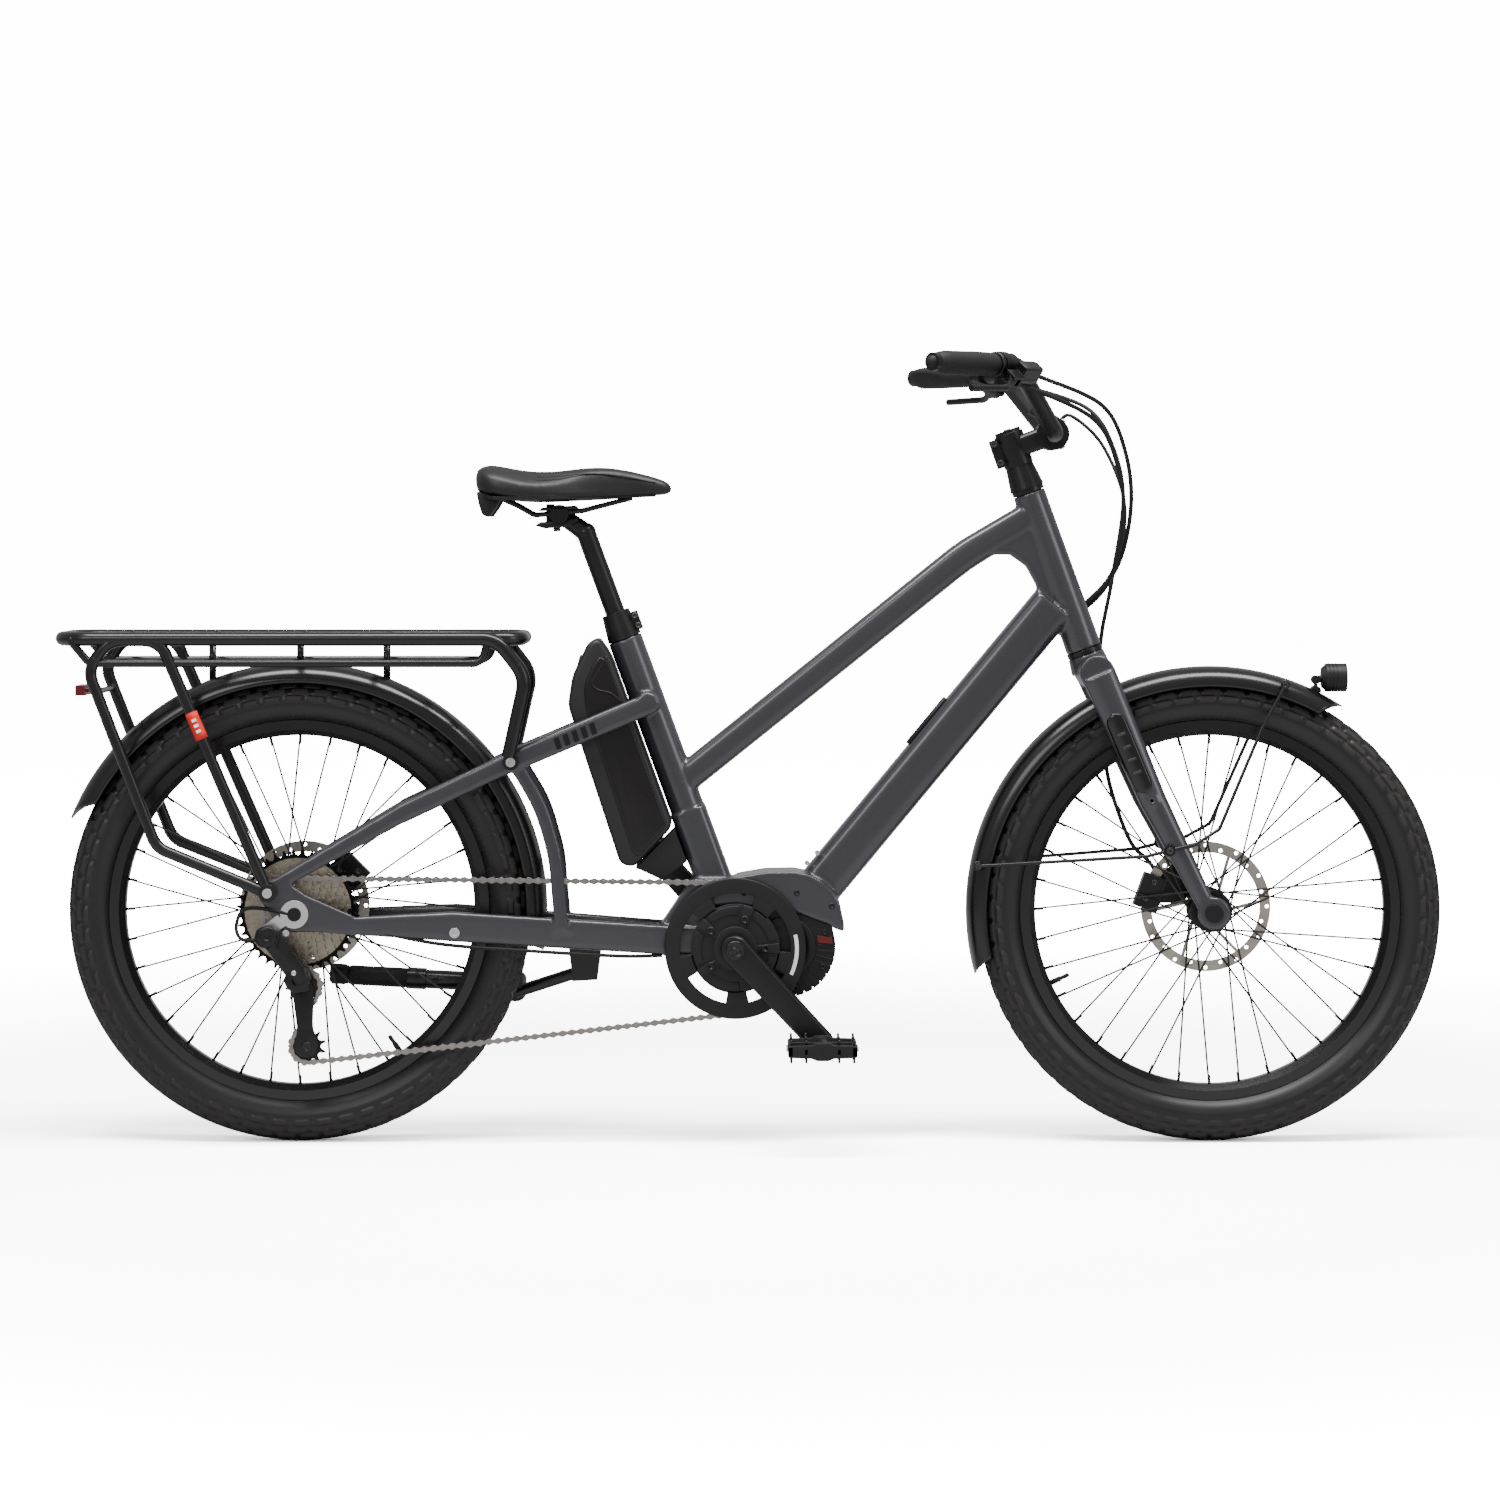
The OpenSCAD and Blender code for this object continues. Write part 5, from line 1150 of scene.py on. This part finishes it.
# the cover plate of the port on the down tube's upper face
plate = Shape()
u3 = unit([418 - 92, 0, 738 - 345])
n3 = np.array([-u3[2], 0, u3[0]])
centre = np.array([244.5, 0, 576.5])
foot = np.array([92.0, 0, 345]) + u3 * float((centre - [92, 0, 345]) @ u3) + n3 * 30.6
rows = [[foot + u3 * (41 - d) * a + np.array([0, (15 - d) * b, 0]) + n3 * h
         for a, b in [(-1, -0.7), (-0.93, -1), (0.93, -1), (1, -0.7), (1, 0.7), (0.93, 1), (-0.93, 1),
                      (-1, 0.7)]]
        for h, d in ((-0.5, 0), (3.2, 0), (4.2, 1.2))]
plate.grid(rows, caps=True)
plate.make("port_cover", PLASTIC, "frame")

# weld beads and rack tag
weld = Shape()
for s in (-1, 1):
    for x in (-860, -740, -619, -500, -390):
        bead(weld, (x, s * (RACK_HALF - 8.6), RACK_Z), (0, 1, 0), 6.2, 1.2, 24)
    for x, z in ((-889, 620),):
        bead(weld, (x, s * 70.5, z), (0, 1, 0), 4.2, 0.9, 20)
weld.make("rack_welds", BLACK, "frame")
tag = Shape()
leg_a, leg_b = np.array([-802.0, 78.5, RACK_Z - 2]), np.array([-657.0, 90.5, 356.0])
d = unit(leg_b - leg_a)
t0 = (RACK_Z - 2 - 592) / -d[2]
t1 = (RACK_Z - 2 - 556) / -d[2]
pts = [(leg_a + d * t) * [1, -1, 1] for t in np.linspace(t0, t1, 6)]
tag.tube(pts, 8.6, 24)
tag.make("rack_tag", RED, "frame")
tag_mark = Shape()
for k in range(3):
    p0, p1 = (leg_a + d * (t0 + 9 + 8 * k)) * [1, -1, 1], (leg_a + d * (t0 + 13 + 8 * k)) * [1, -1, 1]
    out = np.array([0.1, -1, 0])
    side = unit(np.cross(p1 - p0, out)) * 3.2
    lift = unit(out) * 8.75
    tag_mark.add([p0 - side + lift * 0.93, p0 + side + lift * 0.93, p1 + side + lift * 0.93,
                  p1 - side + lift * 0.93,
                  p0 - side + lift * 1.05, p0 + side + lift * 1.05, p1 + side + lift * 1.05,
                  p1 - side + lift * 1.05],
                 [(0, 1, 2, 3), (4, 5, 6, 7), (0, 1, 5, 4), (1, 2, 6, 5), (2, 3, 7, 6), (3, 0, 4, 7)])
tag_mark.make("rack_tag_bars", WHITE, "frame", smooth=False)

# seat clamp and stem bolts
hardware = Shape()
fwd = np.array([0.9385, 0, 0.3453])
for h in (11, 25):
    at = SEAT_FOOT + SEAT_UP * (311 + h) + fwd * 24
    for s in (-1, 1):
        bolt(hardware, at + [0, s * 11, 0], (0, s, 0), 4.4, 3.5)
hardware.make("seat_clamp_bolts", SMALL, "frame")
hardware = Shape()
for a in (-150, -60, 60, 150):
    r = 22.4
    d = np.array([math.cos(math.radians(a)), 0, math.sin(math.radians(a))])
for y in (-17, 17):
    for a in (52, -52):
        d = np.array([math.cos(math.radians(a)), 0, math.sin(math.radians(a))])
        bolt(hardware, BAR_AT + d * 21.8 + [0, y, 0], d, 3.4, 3)
bolt(hardware, HEAD_LOW + HEAD_UP * (241 + 84.8), HEAD_UP, 5, 2)
hardware.make("stem_bolts", BRIGHT, "steering")
# kickstand foot
foot = Shape()
foot.tube([(-560, 80, 219.5), (-566, 80, 220), (-582, 80, 221), (-586, 80, 221.2)],
          [12.5, 14.5, 14.5, 11], 28)
foot.tube([(-466, 80, 214.2), (-470, 80, 214.4), (-556, 80, 219), (-560, 80, 219.2)],
          [11, 13.8, 13.8, 12], 32)
foot.make("kickstand_foot", RUBBER, "kickstand")
sleeve = Shape()
sleeve.tube([(-340, 80.5, 207.6), (-344, 80.5, 207.9), (-452, 80, 213.4), (-456, 80, 213.6)],
            [11.5, 13.2, 13.2, 11.5], 32)
for x in (-362, -438):
    bolt(sleeve, (x, 80.3 - 13, 208.9 + (-x - 362) * 0.055), (0, -1, 0), 4, 1.6)
sleeve.make("kickstand_sleeve", BLACK, "kickstand")

# ---- Floor, light and camera ----
def pale_floor():
    """A white floor, brighter to the camera than to the bicycle, so that the paint isn't washed out."""
    m = bpy.data.materials.new("floor")
    m.use_nodes = True
    g = Graph(m)
    g.nodes.remove(g.nodes["Principled BSDF"])
    spot = g.add("NewGeometry").outputs["Position"]
    away = g.add("VectorMath", {0: spot}, operation="LENGTH").outputs["Value"]
    far = g.add("MapRange", {"Value": away, "From Min": 1.1, "From Max": 4.5, "To Min": FLOOR_SEEN[0],
                             "To Max": FLOOR_SEEN[1]}, interpolation_type="SMOOTHSTEP").outputs["Result"]
    seen = g.add("MapRange", {"Value": g.add("LightPath").outputs["Is Camera Ray"], "To Min": 0.55,
                              "To Max": far})
    diffuse = g.add("BsdfDiffuse", {"Color": seen.outputs["Result"]})
    g.put(g.nodes["Material Output"], {"Surface": diffuse.outputs["BSDF"]})
    return m


SKY_SEEN, SKY_LIT, FLOOR_SEEN = 15.0, 0.55, (4.6, 27.0)
bpy.ops.mesh.primitive_plane_add(size=60, location=(0, 0, 0))
floor = bpy.context.object
floor.name = "floor"
floor.data.materials.append(pale_floor())

world = bpy.data.worlds.new("studio")
bpy.context.scene.world = world
world.use_nodes = True
sky = Graph(world)
view_ray = sky.add("LightPath").outputs["Is Camera Ray"]
bright = sky.add("MapRange", {"Value": view_ray, "To Min": SKY_LIT, "To Max": SKY_SEEN}).outputs["Result"]
sky.put(sky.nodes["Background"], {"Strength": bright, "Color": (1, 1, 1, 1)})


def area(name, at, aim, size, power):
    data = bpy.data.lights.new(name, "AREA")
    data.shape = "RECTANGLE"
    data.size, data.size_y = size
    data.energy = power
    obj = bpy.data.objects.new(name, data)
    bpy.context.scene.collection.objects.link(obj)
    obj.location = at
    obj.rotation_euler = (Vector(aim) - Vector(at)).to_track_quat("-Z", "Y").to_euler()


area("top", (0.1, -0.7, 3.1), (0, 0, 0.4), (3.4, 0.9), 190)
area("front", (-1.9, -3.4, 2.3), (0, 0, 0.5), (1.8, 1.2), 40)
area("side", (3.2, -2.0, 1.6), (0.2, 0, 0.5), (1.2, 1.8), 25)

cam = bpy.data.cameras.new("camera")
cam.sensor_width = 36
cam.lens = 102.8
cam.shift_y = -0.15
cam.clip_end = 100
camera = bpy.data.objects.new("camera", cam)
bpy.context.scene.collection.objects.link(camera)
camera.location = (0, -5.9, 0.847)
camera.rotation_euler = (math.radians(90), 0, 0)
bpy.context.scene.camera = camera
